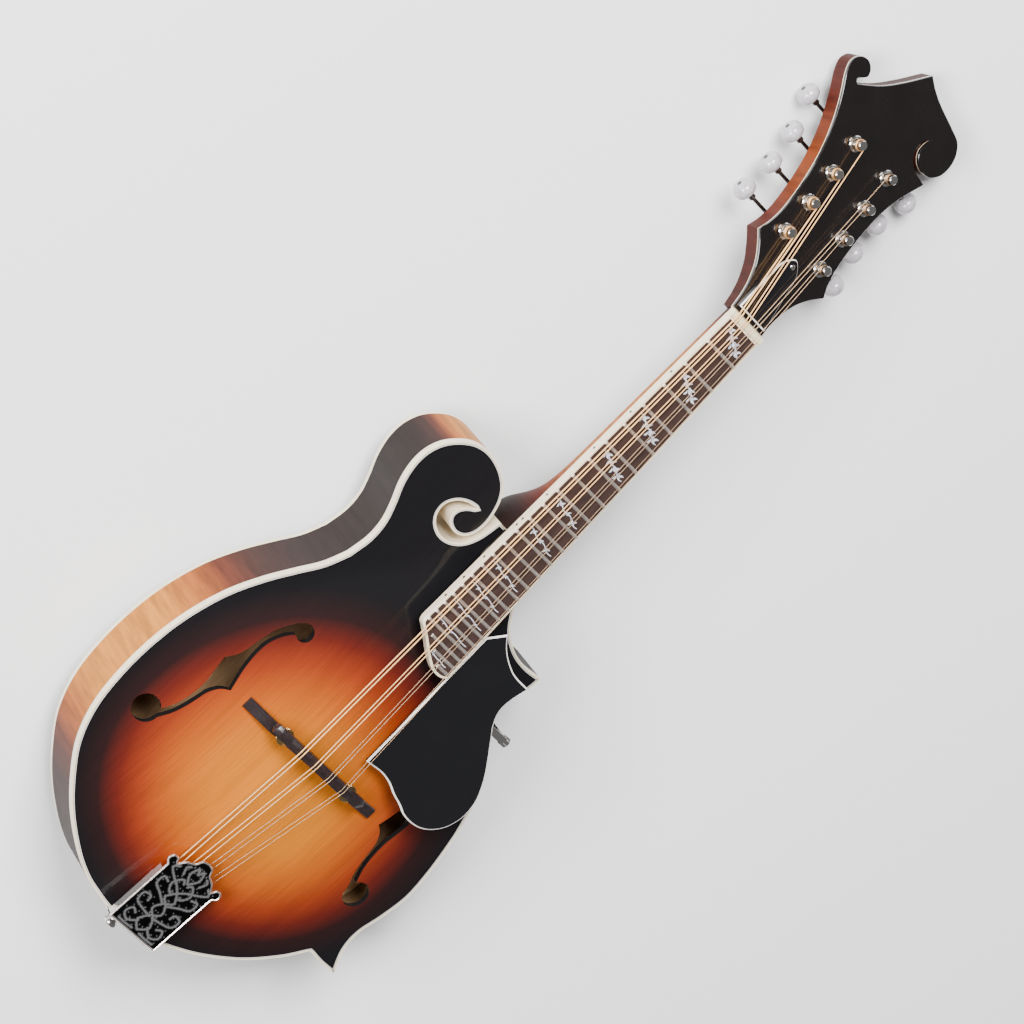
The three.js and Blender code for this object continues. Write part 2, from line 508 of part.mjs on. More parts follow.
function tuners() {
  [-1, 1].forEach((side) => {
    const places = postPlaces().filter((place) => place.side === side);
    const middle = 16.9 * side;
    let plate = box(middle - 5.6, middle + 5.6, firstPost - 9, firstPost + 3 * postPitch + 13,
      -headThick - gap - 1.2, -headThick - gap);
    places.forEach(({ x, y }) => {
      [-1, 1].forEach((end) => {
        const ear = box(x + end * 4.7 - 0.6, x + end * 4.7 + 0.6, y + wormOffset - 2.6, y + wormOffset + 2.6,
          -gearDepth - 2.4, -headThick - gap - 1);
        plate = join(plate, ear);
      });
      const shaftWay = rod(1.5, 40, 8).rotateY(Math.PI / 2).translate(x - 20, y + wormOffset, -gearDepth);
      plate = cut(plate, shaftWay, rod(3.3, 10, 10).translate(x, y, -headThick - 5));
    });
    add(side < 0 ? 'tuner_plate_bass' : 'tuner_plate_treble', onHead(plate), chrome);
  });
  postPlaces().forEach(({ name, side, x, y, reach }) => {
    const shaft = turned([[0, -gearDepth - 1.6], [2.9, -gearDepth - 1.6], [2.9, 4], [3.5, 4.2], [3.5, 6.6],
      [2.9, 6.8], [2.9, 8], [0, 8]], 10);
    const post = join(shaft, gearSolid().translate(0, 0, -gearDepth));
    add(`tuner_post_${name}`, onHead(post.translate(x, y, 0)), chrome);
    const length = reach - Math.abs(x) - 5;
    const stem = rod(1.2, length + 5.6, 8).rotateY(Math.PI / 2).translate(-5.6, 0, 0);
    const button = turned([[0, -5.4], [2.2, -5.4], [6, -3.6], [7.1, -0.4], [6.4, 3], [3.4, 5], [0, 5]], 12)
      .rotateY(Math.PI / 2).translate(length + 5, 0, 0);
    const outward = side > 0 ? join(stem, button) : join(stem, button).rotateZ(Math.PI);
    const key = join(outward, wormSolid());
    add(`tuner_key_${name}`, onHead(key.translate(x, y + wormOffset, -gearDepth)), pearl);
  });
}

// Strings: from the loop on its hook, over the saddle and the nut, to the winding on the post.
const hookX = (index) => 3.6 * index - 12.6;     // evenly spaced along the tailpiece

function courseX(index, outer, pair) {           // eight strings in four pairs, bass to treble
  const course = Math.floor(index / 2);
  return -outer + course * (2 * outer / 3) + (index % 2 - 0.5) * pair;
}

function bentLine(points) {                      // straight runs with one bend at each point
  const line = new THREE.Curve();
  const last = points.length - 1;
  line.getPoint = (t) => {
    const k = Math.min(last - 1, Math.floor(t * last));
    return points[k].clone().lerp(points[k + 1], t * last - k);
  };
  line.getUtoTmapping = (u) => u;
  return line;
}

function strings() {
  const gauge = { g: 0.51, d: 0.38, a: 0.24, e: 0.19 };
  ['g1', 'g2', 'd1', 'd2', 'a1', 'a2', 'e2', 'e1'].forEach((name, i) => {
    const radius = gauge[name[0]];
    const place = postPlaces().find((post) => post.name === name);
    const saddleX = courseX(i, 19.2, 2.4);
    const crown = saddleTop + 0.5 - (saddleX / 22.5) ** 2;
    const nutPoint = new THREE.Vector3(courseX(i, 9.9, 2.3), 2.6, 1.4 + radius).applyMatrix4(neckFrame);
    const stop = new THREE.Vector3(place.x - place.side * (3.5 + radius + gap), place.y - 1, 5.4)
      .applyMatrix4(headFrame);
    const points = [new THREE.Vector3(hookX(i), -119.4, 8.6),
      new THREE.Vector3(saddleX, -2.6, crown + radius + 0.75), nutPoint, stop];
    const tube = new THREE.ExtrudeGeometry(new THREE.Shape(circle(0, 0, radius, 8)),
      { steps: 3, extrudePath: bentLine(points), bevelEnabled: false });
    add(`string_${name}`, tube, 'gd'.includes(name[0]) ? bronzeString : plainString);
  });
}

bodyShell();
bodyInside();
neckAndFriends();
fretboardAndNut();
bridge();
tailpiece();
pickguard();
tuners();
strings();

const extent = new THREE.Box3().setFromObject(mandolin);
const middle = extent.getCenter(new THREE.Vector3());
mandolin.position.set(-middle.x, -middle.y, -extent.min.z);

export default mandolin;
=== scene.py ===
import math
import random

import bmesh
import bpy
import numpy as np
from mathutils import Matrix, Vector
from mathutils.geometry import delaunay_2d_cdt


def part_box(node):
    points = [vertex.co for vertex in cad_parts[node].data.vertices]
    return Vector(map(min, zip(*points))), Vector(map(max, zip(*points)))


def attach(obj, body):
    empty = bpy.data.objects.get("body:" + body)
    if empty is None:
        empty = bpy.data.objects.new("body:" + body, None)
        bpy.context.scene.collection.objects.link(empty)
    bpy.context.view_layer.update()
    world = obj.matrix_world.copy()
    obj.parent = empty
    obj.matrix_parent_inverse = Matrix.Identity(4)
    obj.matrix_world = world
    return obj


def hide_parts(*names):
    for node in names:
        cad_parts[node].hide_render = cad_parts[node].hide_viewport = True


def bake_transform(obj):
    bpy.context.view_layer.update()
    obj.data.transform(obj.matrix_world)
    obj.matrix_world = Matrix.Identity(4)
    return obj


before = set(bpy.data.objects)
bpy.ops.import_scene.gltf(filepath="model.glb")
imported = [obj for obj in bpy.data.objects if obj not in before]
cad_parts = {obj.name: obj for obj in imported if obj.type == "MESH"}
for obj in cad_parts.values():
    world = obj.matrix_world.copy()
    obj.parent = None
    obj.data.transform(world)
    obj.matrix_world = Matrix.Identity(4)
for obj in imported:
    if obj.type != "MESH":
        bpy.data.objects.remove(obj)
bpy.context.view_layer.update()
random.seed(11)

degree = math.pi / 180
toMetres = 0.001
wheelLow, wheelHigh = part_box("thumbwheel_bass")
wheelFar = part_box("thumbwheel_treble")[1]
shift = Vector(((wheelLow.x + wheelFar.x) / 2, (wheelLow.y + wheelHigh.y) / 2 + 0.0028,
                (wheelLow.z + wheelHigh.z) / 2 - 0.02055))

scaleLength = 352.4
neckAngle = 3.6 * degree
headAngle = 15.3 * degree
nutY = scaleLength * math.cos(neckAngle)
nutZ = 3.9
neckMatrix = Matrix.Translation((0, nutY, nutZ)) @ Matrix.Rotation(-neckAngle, 4, "X")
headMatrix = Matrix.Translation((0, nutY + 4, nutZ - 4)) @ Matrix.Rotation(-headAngle, 4, "X")
bodyMatrix = Matrix.Identity(4)


# Evenly spaced points on a smooth curve through the given ones, without the last
def through(points, step):
    last = len(points) - 1
    fine = []
    for i in range(last):
        p0, p1 = np.array(points[max(0, i - 1)], float), np.array(points[i], float)
        p2, p3 = np.array(points[i + 1], float), np.array(points[min(last, i + 2)], float)
        for k in range(24):
            t = k / 24
            v0, v1 = (p2 - p0) / 2, (p3 - p1) / 2
            bend, twist = 3 * (p2 - p1) - 2 * v0 - v1, 2 * (p1 - p2) + v0 + v1
            fine.append(p1 + v0 * t + bend * t * t + twist * t ** 3)
    fine.append(np.array(points[-1], float))
    fine = np.array(fine)
    run = np.concatenate([[0], np.cumsum(np.hypot(*np.diff(fine, axis=0).T))])
    count = max(1, round(run[-1] / step))
    stops = np.linspace(0, run[-1], count + 1)[:-1]
    return [(float(np.interp(s, run, fine[:, 0])), float(np.interp(s, run, fine[:, 1]))) for s in stops]


def loopOf(runs, step):
    return [p for run in runs for p in through(run, step)]


# The loop moved to its left, point by point
def inset(loop, depth):
    moved = []
    for i, here in enumerate(loop):
        a, b = Vector(loop[i - 1]), Vector(loop[(i + 1) % len(loop)])
        one, two = (Vector(here) - a), (b - Vector(here))
        one = one.normalized() if one.length else two.normalized()
        two = two.normalized() if two.length else one
        normal = Vector((-one.y - two.y, one.x + two.x)).normalized()
        half = max(0.4, normal.dot(Vector((-one.y, one.x))))
        turn = one.x * two.y - one.y * two.x
        moved.append(tuple(Vector(here) + normal * (depth / half if turn > 0 else depth)))
    return moved


# Which points lie inside the loop
def inside(points, loop):
    x, y = np.asarray(points, float).T
    hit = np.zeros(len(x), bool)
    for (ax, ay), (bx, by) in zip(loop, loop[1:] + loop[:1]):
        if ay == by:
            continue
        hit ^= ((ay > y) != (by > y)) & (x < (bx - ax) * (y - ay) / (by - ay) + ax)
    return hit


# Distance from each point to the loop
def clearance(points, loop):
    pts = np.asarray(points, float)
    best = np.full(len(pts), 1e9)
    for a, b in zip(loop, loop[1:] + loop[:1]):
        a, side = np.array(a), np.array(b) - np.array(a)
        size = float(side @ side)
        if size == 0:
            continue
        t = np.clip((pts - a) @ side / size, 0, 1)[:, None]
        best = np.minimum(best, np.hypot(*(pts - a - t * side).T))
    return best


# an edge ring extruded from loop to loop; each band of faces keeps its number as its material
def swept(loops, closed=False):
    made = bmesh.new()
    spot = made.verts.layers.int.new("spot")
    row = made.verts.layers.int.new("row")
    ring = [made.verts.new(p) for p in loops[0]]
    for i, vert in enumerate(ring):
        vert[spot] = i
    edges = [made.edges.new(pair) for pair in zip(ring, ring[1:] + ring[:1])]
    if not closed:
        made.faces.new(ring).material_index = len(loops) - 1
    for r, loop in enumerate(loops[1:] + (loops[:1] if closed else []), 1):
        grown = bmesh.ops.extrude_edge_only(made, edges=edges)["geom"]
        fresh = {part for part in grown if isinstance(part, bmesh.types.BMVert)}
        for vert in fresh:
            vert.co = loop[vert[spot]]
            vert[row] = r
        for face in grown:
            if isinstance(face, bmesh.types.BMFace):
                face.material_index = r - 1
        edges = [part for part in grown if isinstance(part, bmesh.types.BMEdge) and set(part.verts) <= fresh]
    if closed:
        bmesh.ops.weld_verts(made, targetmap={vert: ring[vert[spot]] for vert in fresh})
    else:
        for face in bmesh.ops.contextual_create(made, geom=edges)["faces"]:
            face.material_index = len(loops)
    return made


# a bmesh in millimetres made into a piece that rides on a body and stands for CAD nodes
def piece(name, made, finishes, body="instrument", nodes=(), picks=None, values=None, space=bodyMatrix,
          crease=32):
    spot = made.verts.layers.int.get("spot")
    row = made.verts.layers.int.get("row")
    notes = {}
    for key, rule in (values or {}).items():
        notes[key] = [rule(v.co.copy(), v[spot] if spot else 0, v[row] if row else 0) for v in made.verts]
    for face in made.faces:
        face.material_index = (picks or {}).get(face.material_index, 0)
        face.smooth = True
    for key in ("spot", "row"):
        layer = made.verts.layers.int.get(key)
        if layer:
            made.verts.layers.int.remove(layer)
    place = Matrix.Translation(shift) @ Matrix.Scale(toMetres, 4) @ space
    bmesh.ops.transform(made, matrix=place, verts=made.verts)
    bmesh.ops.recalc_face_normals(made, faces=made.faces)
    mesh = bpy.data.meshes.new(name)
    made.to_mesh(mesh)
    made.free()
    for look in finishes:
        mesh.materials.append(look)
    for key, numbers in notes.items():
        mesh.attributes.new(key, "FLOAT", "POINT").data.foreach_set("value", numbers)
    mesh.set_sharp_from_angle(angle=crease * degree)
    shown = bpy.data.objects.new(name, mesh)
    bpy.context.scene.collection.objects.link(shown)
    if body:
        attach(shown, body)
    if nodes:
        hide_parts(*nodes)
    return shown


def level(loop, z):
    return [(x, y, z) for x, y in loop]


# a plate with a bevelled upper edge; choose gives the finish of its side, bevel and face
def prism(name, loop, z0, z1, finishes, bevel=0.4, choose=(0, 0, 0), **rest):
    made = swept([level(loop, z0), level(loop, z1 - bevel), level(inset(loop, bevel), z1)])
    return piece(name, made, finishes, picks={0: choose[0], 1: choose[1], 3: choose[2]}, **rest)


axisTurn = {"Z": Matrix.Identity(4), "X": Matrix.Rotation(math.pi / 2, 4, "Y"),
            "-X": Matrix.Rotation(-math.pi / 2, 4, "Y"), "-Y": Matrix.Rotation(math.pi / 2, 4, "X")}


# a profile of [radius, height] pairs spun about an axis through centre
def turned(profile, sides, centre, axis="Z", closed=False):
    made = bmesh.new()
    line = [made.verts.new((radius, 0, height)) for radius, height in profile]
    pairs = list(zip(line, line[1:])) + ([(line[-1], line[0])] if closed else [])
    edges = [made.edges.new(pair) for pair in pairs]
    bmesh.ops.spin(made, geom=line + edges, cent=(0, 0, 0), axis=(0, 0, 1), angle=2 * math.pi, steps=sides,
                   use_merge=True)
    bmesh.ops.remove_doubles(made, verts=made.verts, dist=0.0005)
    if not closed:
        bmesh.ops.holes_fill(made, edges=[e for e in made.edges if e.is_boundary], sides=0)
    bmesh.ops.transform(made, matrix=Matrix.Translation(centre) @ axisTurn[axis], verts=made.verts)
    return made


# a round tube along a line of points
def tube(points, radius, sides=10):
    path = [Vector(p) for p in points]
    loops, side = [], None
    for i, here in enumerate(path):
        ahead = (path[min(i + 1, len(path) - 1)] - path[max(i - 1, 0)]).normalized()
        side = ahead.orthogonal() if side is None else side - ahead * side.dot(ahead)
        side.normalize()
        other = ahead.cross(side)
        turns = [2 * math.pi * k / sides for k in range(sides)]
        loops.append([here + (side * math.cos(a) + other * math.sin(a)) * radius for a in turns])
    return swept(loops)


def joined(parts):
    whole = bmesh.new()
    for part in parts:
        carrier = bpy.data.meshes.new("Carrier")
        part.to_mesh(carrier)
        part.free()
        whole.from_mesh(carrier)
        bpy.data.meshes.remove(carrier)
    return whole


def block(x0, x1, y0, y1, z0, z1):
    made = bmesh.new()
    place = Matrix.Translation(((x0 + x1) / 2, (y0 + y1) / 2, (z0 + z1) / 2))
    bmesh.ops.create_cube(made, size=1, matrix=place @ Matrix.Diagonal((x1 - x0, y1 - y0, z1 - z0, 1)))
    return made


# an outline with holes filled by an even net of triangles, as a bmesh sheet at the given height
def net(loop, holes, spacing, height):
    low, high = np.min(loop, 0), np.max(loop, 0)
    xs, ys = np.arange(low[0], high[0], spacing), np.arange(low[1], high[1], spacing)
    grid = np.array([(x, y) for x in xs for y in ys])
    keep = inside(grid, loop) & (clearance(grid, loop) > spacing * 0.5)
    for hole in holes:
        keep &= ~inside(grid, hole) & (clearance(grid, hole) > spacing * 0.4)
    spots = [tuple(p) for p in grid[keep]]
    edges = []
    for ring in [loop] + holes:
        first = len(spots)
        spots += [tuple(p) for p in ring]
        edges += [(first + i, first + (i + 1) % len(ring)) for i in range(len(ring))]
    flat, _, triangles, *_ = delaunay_2d_cdt([Vector(p) for p in spots], edges, [], 0, 1e-5)
    centres = np.array([np.mean([tuple(flat[i]) for i in face], 0) for face in triangles])
    wanted = inside(centres, loop)
    for hole in holes:
        wanted &= ~inside(centres, hole)
    made = bmesh.new()
    corners = [made.verts.new((p.x, p.y, height(p.x, p.y))) for p in flat]
    for face, good in zip(triangles, wanted):
        if good:
            made.faces.new([corners[i] for i in face])
    bmesh.ops.delete(made, geom=[v for v in corners if not v.link_faces], context="VERTS")
    return made


# gives a sheet its thickness: the far side has material 1 and the walls 2
def thickened(made, drop):
    sheet = list(made.faces)
    grown = bmesh.ops.extrude_face_region(made, geom=sheet)["geom"]
    far = {part for part in grown if isinstance(part, bmesh.types.BMFace)}
    bmesh.ops.translate(made, vec=(0, 0, drop), verts=[p for p in grown if isinstance(p, bmesh.types.BMVert)])
    near = set(sheet)
    for face in made.faces:
        face.material_index = 0 if face in near else 1 if face in far else 2
    return made


def finish(name, colour, rough=0.4, metal=0.0, coat=0.0, coatRough=0.06):
    made = bpy.data.materials.new(name)
    made.use_nodes = True
    shader = made.node_tree.nodes["Principled BSDF"]
    shader.inputs["Base Color"].default_value = (*colour, 1)
    shader.inputs["Roughness"].default_value = rough
    shader.inputs["Metallic"].default_value = metal
    shader.inputs["Coat Weight"].default_value = coat
    shader.inputs["Coat Roughness"].default_value = coatRough
    return made


def add(made, kind, **settings):
    made = made.node_tree.nodes.new(kind)
    for key, value in settings.items():
        setattr(made, key, value)
    return made


def link(made, start, end):
    made.node_tree.links.new(start, end)


def shaderOf(made):
    return made.node_tree.nodes["Principled BSDF"]


# A colour ramp fed by a value
def ramp(made, source, stops):
    spread = add(made, "ShaderNodeValToRGB")
    link(made, source, spread.inputs["Fac"])
    line = spread.color_ramp
    while len(line.elements) < len(stops):
        line.elements.new(0.5)
    for element, (spot, colour) in zip(line.elements, stops):
        element.position = spot
        element.color = (*colour, 1)
    return spread.outputs["Color"]


# Noise stretched by (x, y, z) in object space, in millimetres
def grain(made, stretch, scale=1.0, detail=6.0, rough=0.6, source=None):
    place = add(made, "ShaderNodeTexCoord")
    fit = add(made, "ShaderNodeMapping")
    fit.inputs["Scale"].default_value = tuple(1000 * s for s in stretch)
    link(made, source or place.outputs["Object"], fit.inputs["Vector"])
    noise = add(made, "ShaderNodeTexNoise")
    noise.inputs["Scale"].default_value = scale
    noise.inputs["Detail"].default_value = detail
    noise.inputs["Roughness"].default_value = rough
    link(made, fit.outputs["Vector"], noise.inputs["Vector"])
    return noise.outputs["Fac"]


def remap(made, source, a, b, low, high):
    change = add(made, "ShaderNodeMapRange")
    change.inputs["From Min"].default_value = a
    change.inputs["From Max"].default_value = b
    change.inputs["To Min"].default_value = low
    change.inputs["To Max"].default_value = high
    link(made, source, change.inputs["Value"])
    return change.outputs["Result"]


# Mixes two colours, or a colour with a value
def mix(made, how, amount, a, b):
    blend = add(made, "ShaderNodeMix", data_type="RGBA", blend_type=how)
    if isinstance(amount, (int, float)):
        blend.inputs["Factor"].default_value = amount
    else:
        link(made, amount, blend.inputs["Factor"])
    for source, socket in ((a, blend.inputs[6]), (b, blend.inputs[7])):
        if isinstance(source, tuple):
            socket.default_value = (*source, 1)
        else:
            link(made, source, socket)
    return blend.outputs[2]


def bump(made, source, distance, strength=1.0):
    relief = add(made, "ShaderNodeBump")
    relief.inputs["Strength"].default_value = strength
    relief.inputs["Distance"].default_value = distance
    link(made, source, relief.inputs["Height"])
    link(made, relief.outputs["Normal"], shaderOf(made).inputs["Normal"])


def valueOf(made, name):
    return add(made, "ShaderNodeAttribute", attribute_name=name).outputs["Fac"]


# Lacquered wood shaded by the burst value of each point, with fine grain or flame over it
def sunburst(name, stops, flame=0.0, stretch=(1.3, 0.012, 0.4)):
    made = finish(name, (0.5, 0.2, 0.05), rough=0.5, coat=0.35)
    shaderOf(made).inputs["Specular IOR Level"].default_value = 0.15
    base = ramp(made, valueOf(made, "burst"), stops)
    fine = remap(made, grain(made, stretch, detail=3), 0.32, 0.68, 0.84, 1.1)
    broad = remap(made, grain(made, (0.09, 0.004, 0.05), detail=2), 0.3, 0.7, 0.93, 1.06)
    colour = mix(made, "MULTIPLY", 1.0, mix(made, "MULTIPLY", 1.0, base, fine), broad)
    if flame:
        waves = grain(made, (0.014, 0.16, 0.05), detail=2.5)
        curl = remap(made, waves, 0.36, 0.64, 1 - flame, 1 + flame * 0.7)
        colour = mix(made, "MULTIPLY", 1.0, colour, curl)
    link(made, colour, shaderOf(made).inputs["Base Color"])
    bump(made, grain(made, stretch, detail=2), 0.00004, 0.25)
    return made


burstStops = [(0.0, (0.50, 0.155, 0.004)), (0.3, (0.46, 0.13, 0.004)), (0.5, (0.35, 0.07, 0.004)),
              (0.65, (0.21, 0.026, 0.005)), (0.77, (0.085, 0.008, 0.004)), (0.87, (0.014, 0.004, 0.004)),
              (1.0, (0.004, 0.0035, 0.0045))]
topSpruce = sunburst("TopSpruce", burstStops)
backStops = [(0.0, (0.36, 0.11, 0.012)), (0.55, (0.30, 0.075, 0.009)), (0.78, (0.12, 0.02, 0.006)),
             (0.92, (0.02, 0.006, 0.005)), (1.0, (0.006, 0.004, 0.004))]
backMaple = sunburst("BackMaple", backStops, flame=0.3, stretch=(0.5, 0.05, 0.3))


# Maple with flame across it; the burst value darkens it and the along value carries the flame
def flamedSide(name, stops):
    made = finish(name, (0.4, 0.15, 0.04), rough=0.5)
    shaderOf(made).inputs["Specular IOR Level"].default_value = 0.12
    base = ramp(made, valueOf(made, "burst"), stops)
    join = add(made, "ShaderNodeCombineXYZ")
    link(made, valueOf(made, "along"), join.inputs["X"])
    link(made, valueOf(made, "rise"), join.inputs["Y"])
    curl = grain(made, (0.00022, 0.00002, 1), detail=3, source=join.outputs["Vector"])
    colour = mix(made, "MULTIPLY", 1.0, base, remap(made, curl, 0.35, 0.65, 0.72, 1.2))
    fibre = grain(made, (0.0004, 0.006, 1), detail=2, source=join.outputs["Vector"])
    colour = mix(made, "MULTIPLY", 1.0, colour, remap(made, fibre, 0.3, 0.7, 0.94, 1.05))
    link(made, colour, shaderOf(made).inputs["Base Color"])
    return made


sideStops = [(0.0, (0.44, 0.155, 0.018)), (0.35, (0.31, 0.08, 0.011)), (0.6, (0.10, 0.02, 0.007)),
             (0.8, (0.03, 0.010, 0.007)), (1.0, (0.012, 0.007, 0.006))]
sideMaple = flamedSide("SideMaple", sideStops)
neckStops = [(0.0, (0.32, 0.10, 0.012)), (0.4, (0.19, 0.04, 0.007)), (0.7, (0.07, 0.011, 0.006)),
             (1.0, (0.014, 0.006, 0.005))]
neckMaple = flamedSide("NeckMaple", neckStops)


def plainWood(name, light, dark, stretch, rough=0.6, coat=0.0, relief=0.0001):
    made = finish(name, light, rough=rough, coat=coat, coatRough=0.2)
    lines = grain(made, stretch, detail=5)
    link(made, ramp(made, lines, [(0.32, dark), (0.66, light)]), shaderOf(made).inputs["Base Color"])
    bump(made, lines, relief, 0.4)
    return made


bareSpruce = plainWood("BareSpruce", (0.66, 0.45, 0.24), (0.50, 0.31, 0.15), (0.9, 0.015, 0.6))
bareMaple = plainWood("BareMaple", (0.46, 0.29, 0.15), (0.36, 0.21, 0.10), (0.3, 0.03, 0.3))
rosewood = plainWood("Rosewood", (0.042, 0.020, 0.016), (0.013, 0.006, 0.005), (1.4, 0.05, 1.0), rough=0.5,
                     coat=0.05, relief=0.00015)
darkBridge = plainWood("BridgeWood", (0.022, 0.012, 0.013), (0.005, 0.003, 0.003), (0.07, 1.2, 1.2),
                       rough=0.35, coat=0.25)


def ivoroid(name, light, dark):
    made = finish(name, light, rough=0.32, coat=0.6)
    link(made, ramp(made, grain(made, (0.25, 0.25, 0.25), detail=4), [(0.35, dark), (0.65, light)]),
         shaderOf(made).inputs["Base Color"])
    return made


cream = ivoroid("CreamBinding", (0.80, 0.70, 0.52), (0.72, 0.60, 0.42))
bone = ivoroid("Bone", (0.80, 0.72, 0.48), (0.70, 0.60, 0.38))
whiteLine = ivoroid("WhiteLine", (0.85, 0.82, 0.76), (0.78, 0.74, 0.68))


def glossBlack(name, tint):
    made = finish(name, tint, rough=0.3, coat=0.6, coatRough=0.04)
    haze = remap(made, grain(made, (0.05, 0.05, 0.05), detail=6), 0.3, 0.7, 0.16, 0.3)
    link(made, haze, shaderOf(made).inputs["Roughness"])
    return made


blackSheet = glossBlack("BlackSheet", (0.003, 0.003, 0.004))
blackLacquer = glossBlack("BlackLacquer", (0.004, 0.0025, 0.0025))
inkLine = finish("InkLine", (0.008, 0.007, 0.007), rough=0.4, coat=0.5)


def metal(name, colour, rough, wear=0.08, scale=0.5):
    made = finish(name, colour, rough=rough, metal=1.0)
    spots = grain(made, (scale, scale, scale), detail=7)
    worn = remap(made, spots, 0.3, 0.75, max(0.03, rough - wear), rough + wear)
    link(made, worn, shaderOf(made).inputs["Roughness"])
    return made


nickel = metal("Nickel", (0.66, 0.64, 0.62), 0.14)
embossed = metal("EmbossedNickel", (0.20, 0.19, 0.19), 0.24, scale=1.5)
# painted light: the raised scroll work is coloured near white as glints, and the hollows near black as
# painted shade and dark reflections
glintAndShadeStops = [(0.12, (0.02, 0.02, 0.022)), (0.42, (0.16, 0.16, 0.17)), (0.72, (0.95, 0.93, 0.95))]
link(embossed, ramp(embossed, valueOf(embossed, "raised"), glintAndShadeStops),
     shaderOf(embossed).inputs["Base Color"])
# the cover's nickel border, coloured brighter and pinker than nickel as a painted highlight along its edges
edgeHighlightNickel = metal("EdgeHighlightNickel", (0.85, 0.76, 0.72), 0.3)
fretMetal = metal("FretMetal", (0.85, 0.80, 0.76), 0.42)
steel = metal("Steel", (0.36, 0.36, 0.37), 0.36)
darkSteel = metal("DarkSteel", (0.10, 0.10, 0.10), 0.3)
brass = metal("Brass", (0.52, 0.38, 0.16), 0.24)
plainWire = metal("PlainWire", (0.50, 0.33, 0.20), 0.4, scale=2.0)


# Round wrap of bronze, its turns cut by a fine wave along the string
def woundWire():
    made = finish("WoundWire", (0.83, 0.52, 0.27), rough=0.45, metal=0.8)
    turns = add(made, "ShaderNodeTexWave", wave_type="BANDS", bands_direction="X")
    turns.inputs["Scale"].default_value = 0.9
    join = add(made, "ShaderNodeCombineXYZ")
    link(made, valueOf(made, "along"), join.inputs["X"])
    link(made, join.outputs["Vector"], turns.inputs["Vector"])
    # painted shade: the grooves between the turns are coloured darker and the crests lighter
    tone = ramp(made, turns.outputs["Fac"], [(0.0, (0.72, 0.38, 0.15)), (0.6, (0.92, 0.56, 0.26))])
    link(made, tone, shaderOf(made).inputs["Base Color"])
    bump(made, turns.outputs["Fac"], 0.00005, 0.3)
    return made


bronzeWire = woundWire()


def pearl(name, tints, scale):
    made = finish(name, tints[0], rough=0.22, coat=0.8)
    cells = add(made, "ShaderNodeTexVoronoi")
    place = add(made, "ShaderNodeTexCoord")
    link(made, place.outputs["Object"], cells.inputs["Vector"])
    cells.inputs["Scale"].default_value = scale
    link(made, ramp(made, cells.outputs["Distance"], [(0.0, tints[0]), (0.5, tints[1]), (1.0, tints[2])]),
         shaderOf(made).inputs["Base Color"])
    return made


buttonPearl = pearl("ButtonPearl", [(0.52, 0.50, 0.51), (0.44, 0.41, 0.44), (0.34, 0.31, 0.35)], 420)
inlayPearl = pearl("InlayPearl", [(0.78, 0.80, 0.84), (0.58, 0.61, 0.68), (0.50, 0.46, 0.55)], 700)

neckJointY = 172
trebleBout = [(4, -149.6), (18, -148), (32, -144.6), (53, -136), (75.5, -122.3), (94, -105.6), (106, -90.6)]
lowerPoint = [(106, -90.6), (118, -91.8), (130, -91.4)]
trebleSide = [(130, -91.4), (122.6, -77), (121, -63), (124.6, -47), (127.3, -28), (125.4, -8), (121, 13),
              (115.5, 31), (108, 48), (98, 62.5), (86, 75.5), (77.5, 88), (75.8, 100), (79.3, 113)]
upperPointEnd = [(79.3, 113), (80.2, 122.6)]
trebleShoulder = [(80.2, 122.6), (66, 121.4), (53, 123.6), (41, 130.2), (31, 141.5), (24, 154),
                  (20, neckJointY)]
neckJoint = [(20, neckJointY), (-19.4, neckJointY)]
slotOuter = [(-19.4, neckJointY), (-20.6, 163), (-22.8, 155), (-27, 148.2), (-33.5, 143.8), (-41, 142.6),
             (-48.5, 145.2), (-53.3, 150.6), (-54, 157.5), (-50, 163.6), (-43.5, 167.2), (-36, 168.4)]
scroll = [(-36, 168.4), (-41.5, 165.2), (-45.4, 160.6), (-46, 155.2), (-42.3, 150.9), (-36, 149.2),
          (-29.7, 151.4), (-25.6, 157.4), (-24.8, 166), (-26.8, 175), (-30.6, 183), (-37, 189.6),
          (-46.5, 194.4), (-58, 196.6), (-69, 194.6), (-78, 188.8), (-84.8, 181), (-88.4, 171),
          (-88.3, 160), (-84.8, 148), (-78.7, 136), (-74.2, 124.5), (-73, 112), (-75.3, 98)]
bassSide = [(-75.3, 98), (-81.7, 84), (-91.6, 70), (-103, 53), (-113.6, 32.5), (-121.1, 8), (-124.4, -16),
            (-124.4, -40), (-120.8, -64.5), (-112, -86), (-98.3, -103.5), (-80.5, -120.4), (-59.5, -134.8),
            (-42.4, -143.1), (-28, -147), (-15, -149.2), (4, -149.6)]
# rises and thicknesses, heights from the rim of the top, and widths in from the outline
bodySize = {"topRise": 14.2, "topThick": 4.2, "topEdge": -4.6, "backEdge": -41.2, "back": -44.8,
            "backRise": 15.8, "backThick": 3.6, "wall": 2.2, "ledge": 1.9}
bodyLoop = loopOf([trebleBout, lowerPoint, trebleSide, upperPointEnd, trebleShoulder, neckJoint, slotOuter,
                   scroll, bassSide], 1.6)


def carved(x, y, height):
    halfWide = 122 - 0.45 * max(0, y - 20)
    halfLong = 132 if y < -18 else 168
    out = (x / halfWide) ** 2 + ((y + 18) / halfLong) ** 2
    return height * (1 - out) ** 1.5 if out < 1 else 0


# 0 in the middle of the lower bout, 1 at the dark edge
def burstAt(x, y):
    halfLong = 107 if y < -38 else 137
    wide = 124 if x < 0 else 127
    return min(1.0, math.hypot(x / wide, (y + 38) / halfLong))


# points on a circle at the given angles
def arc(centre, radius, angles):
    x, y = centre
    return [(x + radius * math.cos(a * degree), y + radius * math.sin(a * degree)) for a in angles]


fHoleEyes = {"upperAt": (60.8, 47.8), "upper": 5.7, "lowerAt": (97.4, -46.4), "lower": 8.8}


